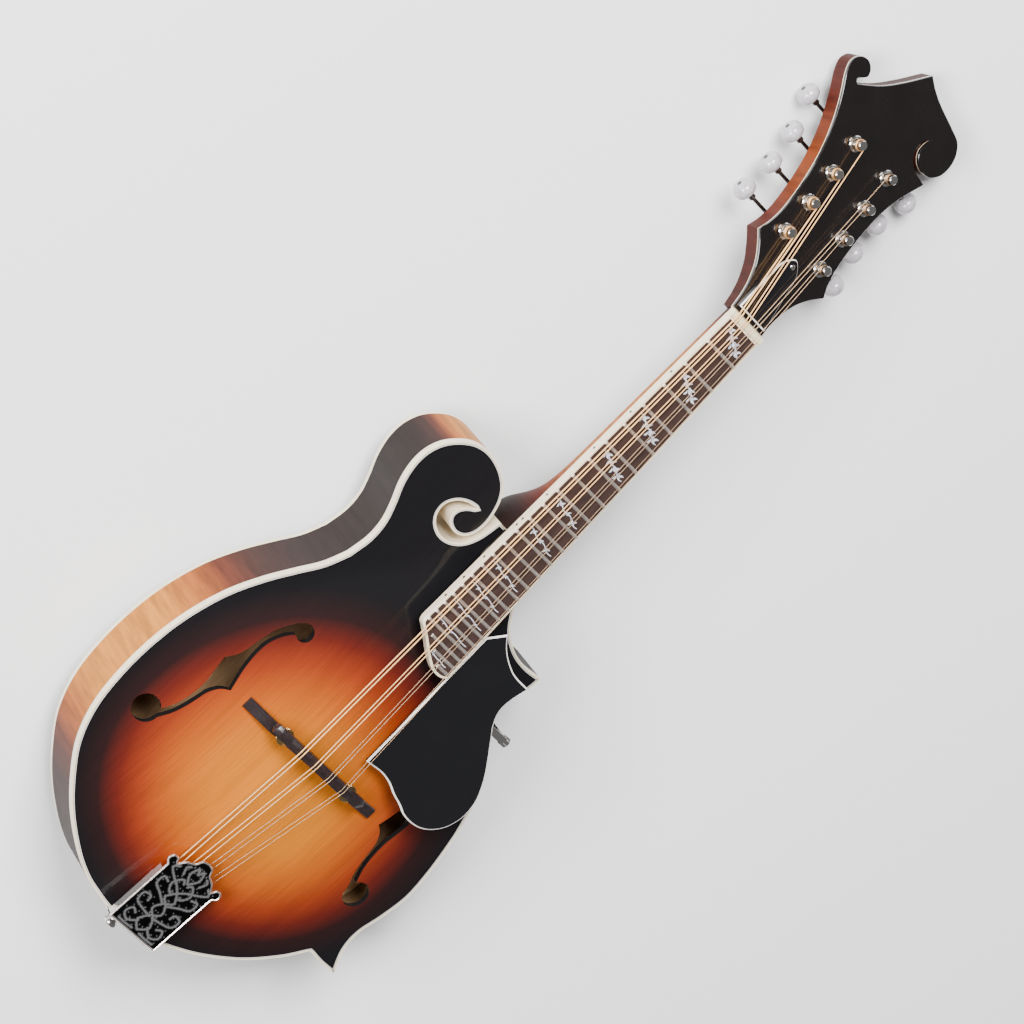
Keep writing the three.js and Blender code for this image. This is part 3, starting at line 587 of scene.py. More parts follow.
def fHoleLoop():
    stem = through([(90.7, -40.7), (87, -33), (84.6, -24), (83.8, -13), (85, -4), (86.5, 6)], 1.5)
    stem += through([(86.5, 6), (82, 12.6), (79.8, 20), (78, 28.5), (75.5, 37), (71, 45.2), (67.3, 50),
                     (64.5, 52.2)], 1.5)
    stem += arc(fHoleEyes["upperAt"], fHoleEyes["upper"], range(50, 305, 15))
    stem += through([(64.4, 43.4), (68.8, 38.4), (72.9, 30), (74.1, 21), (73.4, 12), (71.8, 4),
                     (69.3, -5.6)], 1.5)
    stem += through([(69.3, -5.6), (74.6, -9.2), (78.4, -15.5), (80, -23), (81.6, -30), (84.2, -38),
                     (88.6, -46)], 1.5)
    stem += arc(fHoleEyes["lowerAt"], fHoleEyes["lower"], range(180, 500, 12))
    return stem


# a thin carved plate with its holes, raised over the middle
def carvedPlate(name, loop, holes, z, rise, thick, finishes, spacing, node):
    made = net(loop, holes, spacing, lambda x, y: z + carved(x, y, rise))
    thickened(made, thick)
    return piece(name, made, finishes, nodes=[node], picks={1: 1, 2: 2}, crease=40,
                 values={"burst": lambda p, spot, row: burstAt(p.x, p.y)})


plateLoop = inset(bodyLoop, bodySize["ledge"])
fHoles = [fHoleLoop(), [(-x, y) for x, y in fHoleLoop()]]
carvedPlate("CarvedTop", plateLoop, fHoles, 0, bodySize["topRise"], -bodySize["topThick"],
            [topSpruce, bareSpruce, inkLine], 4.0, "soundboard")
carvedPlate("CarvedBack", plateLoop, [], bodySize["back"], -bodySize["backRise"], bodySize["backThick"],
            [backMaple, bareMaple, inkLine], 6.0, "back_plate")
print("plates done")


# Running length of each point of a loop
def along(loop):
    steps = [math.dist(a, b) for a, b in zip(loop, loop[1:])]
    return [0.0, *np.cumsum(steps).tolist()]


# Dark at the tail, waist, points and neck; amber on the bouts and the crest of the scroll
def sideTone(x, y):
    bout = math.exp(-((y + 28) / 62) ** 2) if abs(x) > 60 else 0
    crest = math.exp(-(((x + 66) / 17) ** 2 + ((y - 192) / 13) ** 2))
    return 1 - min(1.0, 1.25 * bout + 1.1 * crest)


def bodyRing():
    high, low = bodySize["topEdge"], bodySize["backEdge"]
    inner = inset(bodyLoop, bodySize["wall"])
    stack = [level(bodyLoop, high), level(bodyLoop, -16), level(bodyLoop, -29), level(bodyLoop, low),
             level(inner, low), level(inner, high)]
    made = swept(stack, closed=True)
    run = along(bodyLoop)
    tone = [sideTone(x, y) for x, y in bodyLoop]
    slotStart = bodyLoop.index(min(bodyLoop, key=lambda p: math.dist(p, slotOuter[0])))
    slotEnd = bodyLoop.index(min(bodyLoop, key=lambda p: math.dist(p, scroll[7])))
    spot = made.verts.layers.int["spot"]
    for face in made.faces:
        near = min(vert[spot] for vert in face.verts)
        face.material_index = 1 if face.material_index > 2 else 2 if slotStart <= near < slotEnd else 0
    piece("Sides", made, [sideMaple, bareMaple, cream], nodes=["ribs"], picks={1: 1, 2: 2},
          values={"burst": lambda p, spot, row: tone[spot], "along": lambda p, spot, row: run[spot],
                  "rise": lambda p, spot, row: p.z})


# a bound edge with a rounded corner and two fine lines beside the plate
def binding(name, zEdge, zFar, node, lines):
    down = 1 if zFar > zEdge else -1
    stack = [level(bodyLoop, zFar), level(bodyLoop, zEdge + down * 0.35), level(inset(bodyLoop, 0.3), zEdge),
             level(inset(bodyLoop, 1.25), zEdge), level(inset(bodyLoop, 1.55), zEdge),
             level(plateLoop, zEdge), level(plateLoop, zFar)]
    piece(name, swept(stack, closed=True), [cream, inkLine, whiteLine], nodes=[node], picks=lines)


bodyRing()
binding("TopBinding", 0, bodySize["topEdge"], "top_binding", {3: 1, 4: 2})
binding("BackBinding", bodySize["back"], bodySize["backEdge"], "back_binding", {})
for node, look in (("head_block", bareMaple), ("tail_block", bareMaple), ("upper_point_block", bareMaple),
                   ("lower_point_block", bareMaple), ("top_lining", bareSpruce), ("back_lining", bareSpruce),
                   ("tone_bar_bass", bareSpruce), ("tone_bar_treble", bareSpruce), ("truss_rod", steel),
                   ("truss_rod_nut", brass)):
    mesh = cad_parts[node].data
    mesh.materials.clear()
    mesh.materials.append(look)
print("sides and bindings done")

boardThick = 5.4


def halfBoard(y):
    return 14.05 - 0.0245 * y


# place along the neck, half width and depth
neckSections = [(neckJointY, 18.4, 54), (178, 18.1, 51), (184.5, 17.7, 48), (190.5, 17.3, 39.5),
                (197.5, 17, 30), (204, 16.8, 23.4), (211, 16.8, 19.4), (220, 16.7, 16.4), (236, 16.5, 14.6),
                (nutY + 4, 13.7, 11.6)]
heelSize = {"floor": -40.6, "riserInset": 2.4, "riserFrom": -252, "riserTo": -180, "riserLow": -9.5}


def neckShaft():
    stations = [p[0] for p in neckSections]
    ys = np.concatenate([np.arange(neckJointY + 0.2, 240, 2.0), np.linspace(240, nutY + 3.9, 28)])
    wide = np.interp(ys, stations, [p[1] for p in neckSections])
    deep = np.interp(ys, stations, [p[2] for p in neckSections])
    for _ in range(3):
        deep[1:-1] = (deep[:-2] + 2 * deep[1:-1] + deep[2:]) / 4
    loops = []
    for y, w, d in zip(ys, wide, deep):
        under = nutZ - boardThick + (nutY - y) * math.tan(neckAngle)
        loops.append([(w * math.cos(a), y, max(heelSize["floor"], under + d * math.sin(a)))
                      for a in np.linspace(math.pi, 2 * math.pi, 33)])

    def darkness(p, spot, row):
        heel, top = math.exp(-((p.y - neckJointY) / 42) ** 2), math.exp(-((p.y - nutY - 12) / 26) ** 2)
        return min(1.0, 1.1 * max(heel, top))
    piece("NeckShaft", swept(loops), [neckMaple], nodes=["neck"],
          values={"burst": darkness, "along": lambda p, spot, row: p.y, "rise": lambda p, spot, row: p.z})
    width = halfBoard(-230) - heelSize["riserInset"]
    lift = block(-width, width, heelSize["riserFrom"], heelSize["riserTo"], heelSize["riserLow"], -boardThick)
    piece("BoardRiser", lift, [blackLacquer], space=neckMatrix)


headRight = [[(14.2, 0), (14.4, 9), (16, 18.5), (20, 29), (26, 37.5), (32.8, 44.6)],
             [(32.8, 44.6), (29.2, 53), (27.2, 64), (26.6, 78), (27, 92), (28.8, 107), (33.2, 122),
              (40.3, 137.9)],
             [(40.3, 137.9), (30.2, 139.2)],
             [(30.2, 139.2), (23.6, 143), (20.6, 149), (21.3, 155.6), (25.6, 161)],
             [(25.6, 161), (23.8, 156), (23.4, 150), (27, 144.8), (33, 142.4), (40, 143.6), (45.4, 148.6),
              (47.6, 156.5), (46.2, 165), (41, 171.6), (33, 174.3), (16, 178.8), (6, 182.6), (-2, 187.2)]]
headLeft = [[(-2, 187.2), (-14, 172), (-26, 159.2), (-40.6, 148.4)],
            [(-40.6, 148.4), (-43, 150.6), (-40.4, 153.4)],
            [(-40.4, 153.4), (-37.8, 156.6), (-39.6, 161), (-44.6, 163.4), (-50.6, 161.4), (-53.4, 155.6),
             (-51.2, 148), (-44.5, 137), (-38, 124), (-33, 110), (-29.8, 96), (-28, 80), (-27.8, 64),
             (-29.6, 53), (-32.8, 44.6)],
            [(-32.8, 44.6), (-26, 37.5), (-20, 29), (-16, 18.5), (-14.4, 9), (-14.2, 0)]]
# heights are below the black face; the back thins towards the nut and the tip
headSize = {"thick": 14.2, "woodHigh": -2.4, "lineHigh": -1.8, "edge": 0.8, "voluteEnd": 34, "tipStart": 138}


def headstock():
    loop = loopOf([[(-14.2, 0.3), (14.2, 0.3)]] + headRight + headLeft, 1.3)

    def under(y):
        volute, tip = max(0, headSize["voluteEnd"] - y), max(0, y - headSize["tipStart"])
        return -headSize["thick"] + volute * math.tan(6 * degree) + tip * math.tan(2.2 * degree)
    edge, woodHigh, lineHigh = headSize["edge"], headSize["woodHigh"], headSize["lineHigh"]
    stack = [[(x, y, under(y)) for x, y in inset(loop, edge)], [(x, y, under(y) + edge) for x, y in loop],
             level(loop, -5), level(loop, woodHigh)]
    piece("HeadCore", swept(stack), [neckMaple], space=headMatrix,
          values={"burst": lambda p, spot, row: 0.9 - 0.42 * math.exp(-((p.y - 95) / 45) ** 2),
                  "along": lambda p, spot, row: p.y, "rise": lambda p, spot, row: p.z})
    line = swept([level(loop, woodHigh), level(loop, lineHigh)])
    piece("HeadEdgeLine", line, [cream], space=headMatrix)
    face = loopOf([[(-14.2, 1.2), (14.2, 1.2)]] + headRight + headLeft, 1.3)
    prism("HeadFace", face, lineHigh, 0, [blackLacquer], bevel=0.3, space=headMatrix,
          nodes=["headstock_overlay"])


neckShaft()
headstock()
bell = [[(-12.2, 3.4), (12.2, 3.4)],
        [(12.2, 3.4), (11.4, 12), (10, 22), (8.8, 30), (8, 38), (5, 44), (0, 47.6), (-5, 44), (-8, 38),
         (-8.8, 30), (-10, 22), (-11.4, 12), (-12.2, 3.4)]]
rodCover = {"low": 0.02, "high": 2.1, "bevel": 0.75, "screwAt": (0.3, 42.7, 2.05), "screw": 1.6, "head": 0.9}
prism("RodCover", loopOf(bell, 1.2), rodCover["low"], rodCover["high"], [blackSheet, whiteLine],
      bevel=rodCover["bevel"], choose=(0, 1, 0), space=headMatrix, nodes=["truss_rod_cover"])


slotHalf = 0.22


# A domed screw head with a slot, facing up or towards the tail
def slottedScrew(name, centre, radius, height, space, axis="Z", body="instrument", look=nickel):
    dome = [(radius, 0), (radius, height * 0.5), (radius * 0.7, height * 0.9), (radius * 0.2, height)]
    made = turned(dome, 20, centre, axis)
    piece(name, made, [look], body=body, space=space)
    x, y, z = centre
    half, low, high = radius * 0.75, height * 0.7, height * 1.02
    if axis == "Z":
        slot = block(x - half, x + half, y - slotHalf, y + slotHalf, z + low, z + high)
    else:
        slot = block(x - half, x + half, y - high, y - low, z - slotHalf, z + slotHalf)
    piece(name + "Slot", slot, [darkSteel], body=body, space=space)


slottedScrew("RodCoverScrew", rodCover["screwAt"], rodCover["screw"], rodCover["head"], headMatrix)
print("neck done")


def fretboard():
    end = [(-20.2, -248.6), (-19, -252), (-15, -254.4), (-9, -258.2), (-4, -261.5), (1, -264.6), (6, -267.2),
           (11, -268.6), (16.5, -268.2), (20.6, -265.8)]
    runs = [[(halfBoard(0), 0), (-halfBoard(0), 0)], [(-halfBoard(0), 0), (-halfBoard(-248.6), -248.6)], end,
            [(20.6, -265.8), (halfBoard(0), 0)]]
    loop = [p for run, step in zip(runs, (30, 12, 1.2, 12)) for p in through(run, step)]
    inner = [(x, min(0, y) if y > -3 else y) for x, y in inset(loop, 1.5)]
    stack = [level(loop, -boardThick), level(loop, -0.3), level(inset(loop, 0.3), 0), level(inner, 0),
             level(inner, -boardThick)]
    made = swept(stack, closed=True)
    piece("BoardBinding", made, [cream], space=neckMatrix, nodes=["fretboard_binding"])
    made = swept([level(inner, -boardThick), level(inner, -0.02)])
    piece("Board", made, [rosewood], space=neckMatrix, nodes=["fretboard"])


def fretY(number):
    return -scaleLength * (1 - 2 ** (-number / 12))


fretSize = {"count": 24, "half": 1.1, "high": 1.05, "endGap": 1.3, "taper": 0.5, "lastFull": 21}


# Half-round wires, shortened where the board narrows at its end
def frets():
    made = []
    for number in range(1, fretSize["count"] + 1):
        y = fretY(number)
        right = halfBoard(y) - fretSize["endGap"]
        left = -right
        if number > fretSize["lastFull"]:
            left = -9 + (number - fretSize["lastFull"] - 1) * 8.5
        half, high, taper = fretSize["half"], fretSize["high"], fretSize["taper"]
        profile = [(half * math.cos(a), high * math.sin(a)) for a in np.linspace(0, math.pi, 9)]
        loops = []
        for x, size in ((left, 0.25), (left + taper, 1.0), (right - taper, 1.0), (right, 0.25)):
            loops.append([(x, y + dy, dz * size - 0.02) for dy, dz in profile])
        made.append(swept(loops))
    piece("Frets", joined(made), [fretMetal], space=neckMatrix)


# A pointed leaf bent along its length, as a thin plate
def leaf(x, y, length, width, angle, curve):
    c, s = math.cos(angle), math.sin(angle)
    rim = []
    for t in np.linspace(0, 1, 9):
        rim.append((t, 1))
    for t in np.linspace(1, 0, 9)[1:-1]:
        rim.append((t, -1))
    flat = []
    for t, side in rim:
        u = length * (t - 0.5)
        v = side * width * 0.5 * math.sin(math.pi * t ** 0.8) + curve * (t - 0.5) ** 2 * length
        flat.append((x + u * c - v * s, y + u * s + v * c))
    return swept([level(flat, -0.015), level(flat, 0.045)])


inlayPlan = {"spaces": (1, 3, 5, 7, 10, 12, 15, 17, 19, 21, 24), "largest": 5.6, "slant": 0.55,
             "shortSide": 6}


# A run of leaves and tendrils set across the board between chosen frets
def inlays():
    made = []
    slant = inlayPlan["slant"]
    for number in inlayPlan["spaces"]:
        top, low = fretY(number - 1), fretY(number)
        middle, room = (top + low) / 2, (top - low) - 3.2
        across = halfBoard(middle) * 1.25
        offset = 0
        if number > fretSize["lastFull"]:
            across *= 0.55
            offset = inlayPlan["shortSide"]
        spots = 4 if room > 9 else 3
        for k in range(spots):
            t = (k + 0.5) / spots - 0.5
            x, y = offset + across * t, middle - room * slant * t
            tilt = -0.5 + random.uniform(-0.3, 0.3)
            size = min(room * 0.5, inlayPlan["largest"])
            made.append(leaf(x, y, size, size * 0.34, tilt, 0.5))
            made.append(leaf(x + size * 0.2, y + size * 0.28, size * 0.75, size * 0.27, tilt + 1.3, -0.6))
            made.append(leaf(x - size * 0.25, y - size * 0.3, size * 0.66, size * 0.24, tilt + 2.2, 0.7))
        stem = []
        for t in np.linspace(-0.55, 0.55, 24):
            stem.append((offset + across * t, middle - room * slant * t + room * 0.09 * math.sin(t * 12)))
        rim = stem + [(x + 0.1, y + 0.5) for x, y in stem[::-1]]
        made.append(swept([level(rim, -0.015), level(rim, 0.04)]))
    piece("VineInlays", joined(made), [inlayPearl], space=neckMatrix)


dotPlan = {"spaces": (3, 5, 7, 10, 12, 12, 15, 17, 19), "radius": 0.9, "pairGap": 2.4}


def sideDots():
    made = []
    radius, pairGap = dotPlan["radius"], dotPlan["pairGap"]
    for number in dotPlan["spaces"]:
        y = (fretY(number - 1) + fretY(number)) / 2
        if number == 12:
            y += pairGap if len(made) % 2 else -pairGap
        made.append(turned([(radius, 0), (radius, 0.07)], 16, (-halfBoard(y) - 0.02, y, -2.1), "-X"))
    piece("SideDots", joined(made), [inkLine], space=neckMatrix)


fretboard()
frets()
inlays()
sideDots()


nutSize = {"half": 14.1, "outer": 9.9, "pair": 2.3, "notch": 0.55}
saddleSize = {"half": 40.4, "outer": 19.2, "pair": 2.4, "notch": 0.4, "thick": 3.4, "y": -1.9, "low": 22}


# sideways place of a string at the nut or the saddle
def courseX(index, size):
    outer, pair = size["outer"], size["pair"]
    return -outer + (index // 2) * (2 * outer / 3) + (index % 2 - 0.5) * pair


def hookX(index):
    return 3.6 * index - 12.6


gauge = {"g": 0.51, "d": 0.38, "a": 0.24, "e": 0.19}
stringNames = ["g1", "g2", "d1", "d2", "a1", "a2", "e2", "e1"]
stringEnds = {"hookY": -119.4, "hookZ": 8.6, "postZ": 5.4}
saddleTop = 30.6
postY = -2.8


# A bone nut with a rounded back and a notch under each string
def nut():
    xs = sorted(set(np.round(np.linspace(-nutSize["half"], nutSize["half"], 141), 3)))
    slots = [courseX(i, nutSize) for i in range(8)]
    loops = []
    for x in xs:
        dip = max(0.0, *(nutSize["notch"] * max(0, 1 - abs(x - s) / 0.45) for s in slots))
        top = 0.9 - dip
        loops.append([(x, 0.05, -5.1), (x, 4.55, -5.1), (x, 4.55, -0.4), (x, 4.0, 0.2 - dip * 0.5),
                      (x, 2.6, top * 0.9), (x, 0.4, top), (x, 0.05, top - 0.2)])
    made = swept(loops)
    piece("BoneNut", made, [bone], space=neckMatrix, nodes=["nut"], crease=50)


baseSize = {"half": 58, "thick": 3.6, "y": -3.7, "high": 17.2, "arch": 20}
wheelSize = {"x": 29, "radius": 5.8, "knurl": 0.25, "ridges": 72, "low": 19.5, "high": 21.6, "thread": 1.8,
             "groove": 0.22, "threadLow": 13.5}


# height of the underside of a bridge foot, just over the carved top
def foot(x):
    return carved(x, -5, bodySize["topRise"]) + 0.35


def bridgeFeet():
    rows = []
    mid, high, thick, arch = baseSize["y"], baseSize["high"], baseSize["thick"], baseSize["arch"]
    for x in np.linspace(-baseSize["half"], baseSize["half"], 97):
        t = abs(x)
        top = high if t < 36 else float(np.interp(t, [36, 43, 52, 58], [high, 15.9, 13, 11.4]))
        low = foot(x) if t > arch else float(np.interp(t, [0, 16, arch], [15.6, 14.8, foot(arch)]))
        half = thick if t > 36 else thick - 0.5 * math.cos(t / 36 * math.pi / 2) ** 2
        rows.append([(x, mid - half, low), (x, mid + half, low), (x, mid + half, top - 0.6),
                     (x, mid + half - 0.6, top), (x, mid - half + 0.6, top), (x, mid - half, top - 0.6)])
    piece("BridgeBase", swept(rows), [darkBridge], nodes=["bridge_base"], crease=38)


# The crest steps forwards and back for each pair of strings
def saddle():
    rows = []
    mid, base = saddleSize["y"], saddleSize["low"]
    slots = [courseX(i, saddleSize) for i in range(8)]
    for x in np.linspace(-saddleSize["half"], saddleSize["half"], 163):
        t = abs(x)
        crown = float(np.interp(t, [0, 22.5, 28, 36, 40.5], [31.0, 30.0, 28.5, 27.3, 25.4]))
        end = max(0.0, (t - 37.4) / 3)
        half = saddleSize["thick"] * math.sqrt(max(0.05, 1 - end ** 2))
        notch = max(0.0, *(saddleSize["notch"] * max(0, 1 - abs(x - s) / 0.5) for s in slots))
        lean = 0.9 if int((x + 24) // 12) % 2 else -0.2
        crest = min(half - 0.4, 0.9 + (lean if t < 24 else 0))
        rows.append([(x, mid - half, base), (x, mid + half, base), (x, mid + half, crown - 1.4),
                     (x, mid + crest, crown - notch), (x, mid + crest - 1.1, crown - notch),
                     (x, mid - half, crown - 1.7)])
    piece("BridgeSaddle", swept(rows), [darkBridge], body="saddle", nodes=["bridge_saddle"], crease=38)


# A knurled wheel on a threaded post
def thumbwheel(side, x):
    low, high, ridges = wheelSize["low"], wheelSize["high"], wheelSize["ridges"]
    loops = []
    for z, shrink in ((low, 0.5), (low + 0.3, 0), (high - 0.3, 0), (high, 0.5)):
        ring = []
        for k in range(ridges):
            reach = wheelSize["radius"] - wheelSize["knurl"] * (k % 2) - shrink
            turn = k * 360 / ridges * degree
            ring.append((x + reach * math.cos(turn), postY + reach * math.sin(turn), z))
        loops.append(ring)
    piece(f"Wheel{side.title()}", swept(loops), [brass], body=f"wheel_{side}", nodes=[f"thumbwheel_{side}"])
    thread = [(wheelSize["thread"] - wheelSize["groove"] * (k % 2), wheelSize["threadLow"] + 0.25 * k)
              for k in range(43)]
    made = turned(thread, 18, (x, postY, 0))
    piece(f"Post{side.title()}", made, [brass], nodes=[f"bridge_post_{side}"], crease=60)


# reach is from the middle of the headstock to the middle of each button, nearest the nut first
postPlan = {"names": ["g1", "g2", "d1", "d2", "e1", "e2", "a2", "a1"], "reach": [46, 42.8, 44, 51.2],
            "x": 17.9, "taper": 0.64, "y": 55, "gap": 22.7}


# name, side, place and reach of each tuner
def postPlaces():
    for i, name in enumerate(postPlan["names"]):
        step, side = i % 4, -1 if i < 4 else 1
        x, y = side * (postPlan["x"] - postPlan["taper"] * step), postPlan["y"] + postPlan["gap"] * step
        yield name, side, x, y, postPlan["reach"][step]


def strings():
    posts = {name: (side, x, y) for name, side, x, y, _ in postPlaces()}
    for i, name in enumerate(stringNames):
        radius = gauge[name[0]]
        wound = name[0] in "gd"
        look = bronzeWire if wound else plainWire
        saddleX = courseX(i, saddleSize)
        crown = saddleTop + 0.5 - (saddleX / 22.5) ** 2
        side, px, py = posts[name]
        hook = Vector((hookX(i), stringEnds["hookY"], stringEnds["hookZ"]))
        bend = Vector((saddleX, -2.6, crown + radius + 0.35))
        rest = neckMatrix @ Vector((courseX(i, nutSize), 2.6, 1.1 + radius))
        stop = headMatrix @ Vector((px - side * (3.0 + radius), py - 1, stringEnds["postZ"]))
        tail = [hook.lerp(bend, t) for t in np.linspace(0, 1, 25)]
        front = [bend.lerp(rest, t) for t in np.linspace(0, 1, 60)]
        front += [rest.lerp(stop, t) for t in np.linspace(0, 1, 18)][1:]
        for part, path in (("Tail", tail), ("Run", front)):
            run = [0.0, *np.cumsum([(b - a).length for a, b in zip(path, path[1:])]).tolist()]
            wire = piece(f"String{part}{name.title()}", tube(path, radius), [look], body=None, crease=70,
                         values={"along": lambda p, spot, row: run[row]})
            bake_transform(wire)
            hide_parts(f"string_{name}")
        coil = []
        for k in range((3 if wound else 5) * 20 + 1):
            a = (0 if side < 0 else math.pi) - side * 2 * math.pi * k / 20
            far = 2.95 + radius
            drop = k / 20 * radius * (1.25 if wound else 2.05)
            place = Vector((px + far * math.cos(a), py + far * math.sin(a), stringEnds["postZ"] - drop))
            coil.append(headMatrix @ place)
        piece(f"Coil{name.title()}", tube(coil, radius, 8), [look], body=f"post_{name}", crease=70,
              values={"along": lambda p, spot, row: 0.4 * row})
        turns = np.linspace(0.3, 2 * math.pi, 20)
        eye = [hook + Vector((1.5 * math.cos(a), 1.5 * math.sin(a) - 1.4, 0)) for a in turns]
        piece(f"Loop{name.title()}", tube(eye, radius * 0.8, 8), [plainWire], crease=70)


nut()
bridgeFeet()
saddle()
thumbwheel("bass", -wheelSize["x"])
thumbwheel("treble", wheelSize["x"])
strings()
print("strings done")


coverSize = {"at": (0, -149.8, 13.8), "tilt": 4.6, "half": 20, "rim": 1.3, "relief": 0.5, "thick": 0.75,
             "skirt": -6, "skirtThick": 1.1, "skirtLong": 42}


# A stamped cover with raised scroll work inside a plain border
def tailCover():
    space = Matrix.Translation(coverSize["at"]) @ Matrix.Rotation(coverSize["tilt"] * degree, 4, "X")
    right = [[(20, 0), (20, 46)], [(20, 46), (22.8, 48.8), (21.4, 52.8), (17.4, 53), (15.5, 49.8)],
             [(15.5, 49.8), (12, 54.2), (7, 56.8), (4.6, 60.8), (0, 62.2)]]
    left = [[(-x, y) for x, y in run[::-1]] for run in right[::-1]]
    loop = loopOf([[(-20, 0), (20, 0)]] + right + left, 0.9)
    rim = inset(loop, coverSize["rim"])
    stems = [[(0, 4), (5, 9), (2, 15), (-4, 20), (-1, 26), (4, 30), (0, 36)],
             [(4, 9), (10, 5), (15, 8), (13, 13), (9, 11)],
             [(1, 15), (8, 16), (15, 18), (16, 24), (11, 25), (10, 21)],
             [(2, 26), (9, 30), (15, 33), (15, 39), (10, 38)],
             [(0, 36), (5, 40), (11, 43), (16, 47), (12, 50)], [(2, 33), (6, 35), (8, 40), (4, 45), (1, 42)],
             [(0, 44), (4, 50), (2, 56), (0, 52)], [(7, 47), (9, 52), (6, 54)], [(3, 3), (9, 2.6), (16, 3)]]
    marks = []
    for stem in stems:
        for k, (x, y) in enumerate(through(stem, 0.8)):
            size = 0.95 + 0.55 * math.sin(k * 1.9) ** 2
            marks += [(x, y, size), (-x, y, size)]
            if k % 3 == 1:
                lean = 1.9 * math.cos(k)
                marks += [(x + lean, y + 1.5, 0.75), (-x - lean, y + 1.5, 0.75)]
    marks = np.array(marks)

    def relief(x, y):
        near = 1 - np.hypot(marks[:, 0] - x, marks[:, 1] - y) / marks[:, 2]
        return float(max(0, near.max())) ** 0.7
    made = net(rim, [], 0.5, lambda x, y: -0.6 + coverSize["relief"] * relief(x, y))
    thickened(made, -coverSize["thick"])
    # the raised value also sets the cover's painted glints on the ridges and painted shade in the hollows
    piece("CoverPanel", made, [embossed], body="cover", space=space, nodes=["tailpiece_cover"], crease=60,
          values={"raised": lambda p, spot, row: relief(p.x, p.y)})
    stack = [level(loop, -1.4), level(loop, -0.7), level(inset(loop, 0.5), 0), level(inset(loop, 0.9), 0),
             level(inset(loop, 1.35), -0.5), level(inset(loop, 1.35), -1.4)]
    made = swept(stack, closed=True)
    piece("CoverBorder", made, [edgeHighlightNickel], body="cover", space=space)
    half, low, wall = coverSize["half"], coverSize["skirt"], coverSize["skirtThick"]
    long = coverSize["skirtLong"]
    skirt = joined([block(-half, wall - half, 0.2, long, low, -1.2),
                    block(half - wall, half, 0.2, long, low, -1.2),
                    block(-half, half, 0.05, wall, low, -1.2)])
    piece("CoverSkirt", skirt, [nickel], body="cover", space=space)


shelfSize = {"half": 17, "tail": -151.2, "front": -114, "low": 5.3, "high": 6.7, "apronThick": 1.2,
             "hookY": -121, "hook": 0.8, "screwX": 9}


# The shelf under the cover, its apron over the tail, and eight hooks
def tailBase():
    half, tail = shelfSize["half"], shelfSize["tail"]
    made = [block(-half, half, tail, shelfSize["front"], shelfSize["low"], shelfSize["high"])]
    apron = [(-14, 6), (-14, -19), (-10, -24), (-4, -26), (4, -26), (10, -24), (14, -19), (14, 6)]
    made.append(swept([[(x, y, z) for x, z in apron] for y in (tail, tail + shelfSize["apronThick"])]))
    for i in range(8):
        x = hookX(i)
        y = shelfSize["hookY"]
        arm = [(x, y, 6.2 + 3.2 * t) for t in np.linspace(0, 0.8, 6)]
        arm += [(x, y - 1.2 * math.sin(a), 8.2 + 1.2 * math.sin(a) * 0.6) for a in np.linspace(0.2, 1.4, 6)]
        made.append(tube(arm, shelfSize["hook"], 10))
    piece("TailBase", joined(made), [nickel], nodes=["tailpiece_base"])
    profile = [(2.6, -0.6), (4.4, 0.4), (4.3, 1.0), (3.2, 2), (2.8, 2.8), (2.9, 3.4), (4.2, 4.4),
               (4.55, 5.2), (4.55, 6.2), (4.1, 6.9), (2.4, 7)]
    made = turned(profile, 32, (0, -151.7, -12), "-Y")
    piece("EndPin", made, [nickel], nodes=["end_pin"], crease=50)
    for label, side in (("B", -1), ("T", 1)):
        place = (side * shelfSize["screwX"], tail, -2)
        slottedScrew(f"ApronScrew{label}", place, 1.7, 0.8, bodyMatrix, axis="-Y")


guardRuns = [[(22, -333.4), (27, -333)],
             [(27, -333), (35, -332.4), (43.5, -333.8), (51.5, -337), (59.4, -339.2), (66.4, -341.9),
              (74, -342.6), (82, -341.2), (89, -337.2), (94.6, -331), (97.8, -323.6), (98.8, -316.5),
              (97.6, -307.6), (94, -299.5), (88.8, -291.3), (81.6, -282.4), (74.5, -274.2),
              (68.5, -267), (64.8, -258.8), (65.2, -250), (68.6, -237.8)],
             [(68.6, -237.8), (56, -237.4), (47, -234.6), (38.4, -229.6), (31.5, -223)],
             [(31.5, -223), (22, -233)], [(22, -233), (22, -333.4)]]


guardSize = {"low": -5.35, "high": -3.0, "bevel": 0.9, "armY": (79.1, 83.9), "screwAt": (84.3, 81.5, 7.6),
             "ridges": 48}


def guard():
    loop = loopOf(guardRuns, 1.5)
    prism("Pickguard", loop, guardSize["low"], guardSize["high"], [blackSheet, whiteLine],
          bevel=guardSize["bevel"], choose=(0, 1, 0), space=neckMatrix, nodes=["pickguard"])
    near, far = guardSize["armY"]
    arm = joined([block(66, 85.5, near, far, 11.65, 12.75), block(84.25, 85.55, near, far, -9, 12.7)])
    piece("GuardBracket", arm, [nickel], nodes=["pickguard_bracket"])
    (x, y, z), ridges = guardSize["screwAt"], guardSize["ridges"]
    loops = []
    for height, radius, cut in ((0, 1.2, 0), (1.6, 1.2, 0), (1.7, 3.0, 0), (2.1, 3.45, 0.22),
                                (6.0, 3.45, 0.22), (6.5, 3.0, 0), (7.1, 1.4, 0)):
        ring = []
        for k in range(ridges):
            reach, turn = radius - cut * (k % 2), k * 360 / ridges * degree
            ring.append((x + height, y + reach * math.cos(turn), z + reach * math.sin(turn)))
        loops.append(ring)
    made = swept(loops)
    piece("GuardScrew", made, [nickel], body="guard_screw", nodes=["bracket_screw"])


tailCover()
tailBase()
guard()
print("tailpiece and pickguard done")


wormSize = {"half": 2.6, "radius": 1.72, "thread": 0.43, "pitch": 1.616, "slices": 65}
gearSize = {"teeth": 14, "root": 3.15, "gap": 3.05, "flank": 3.95, "tip": 4.0, "half": 1.2}


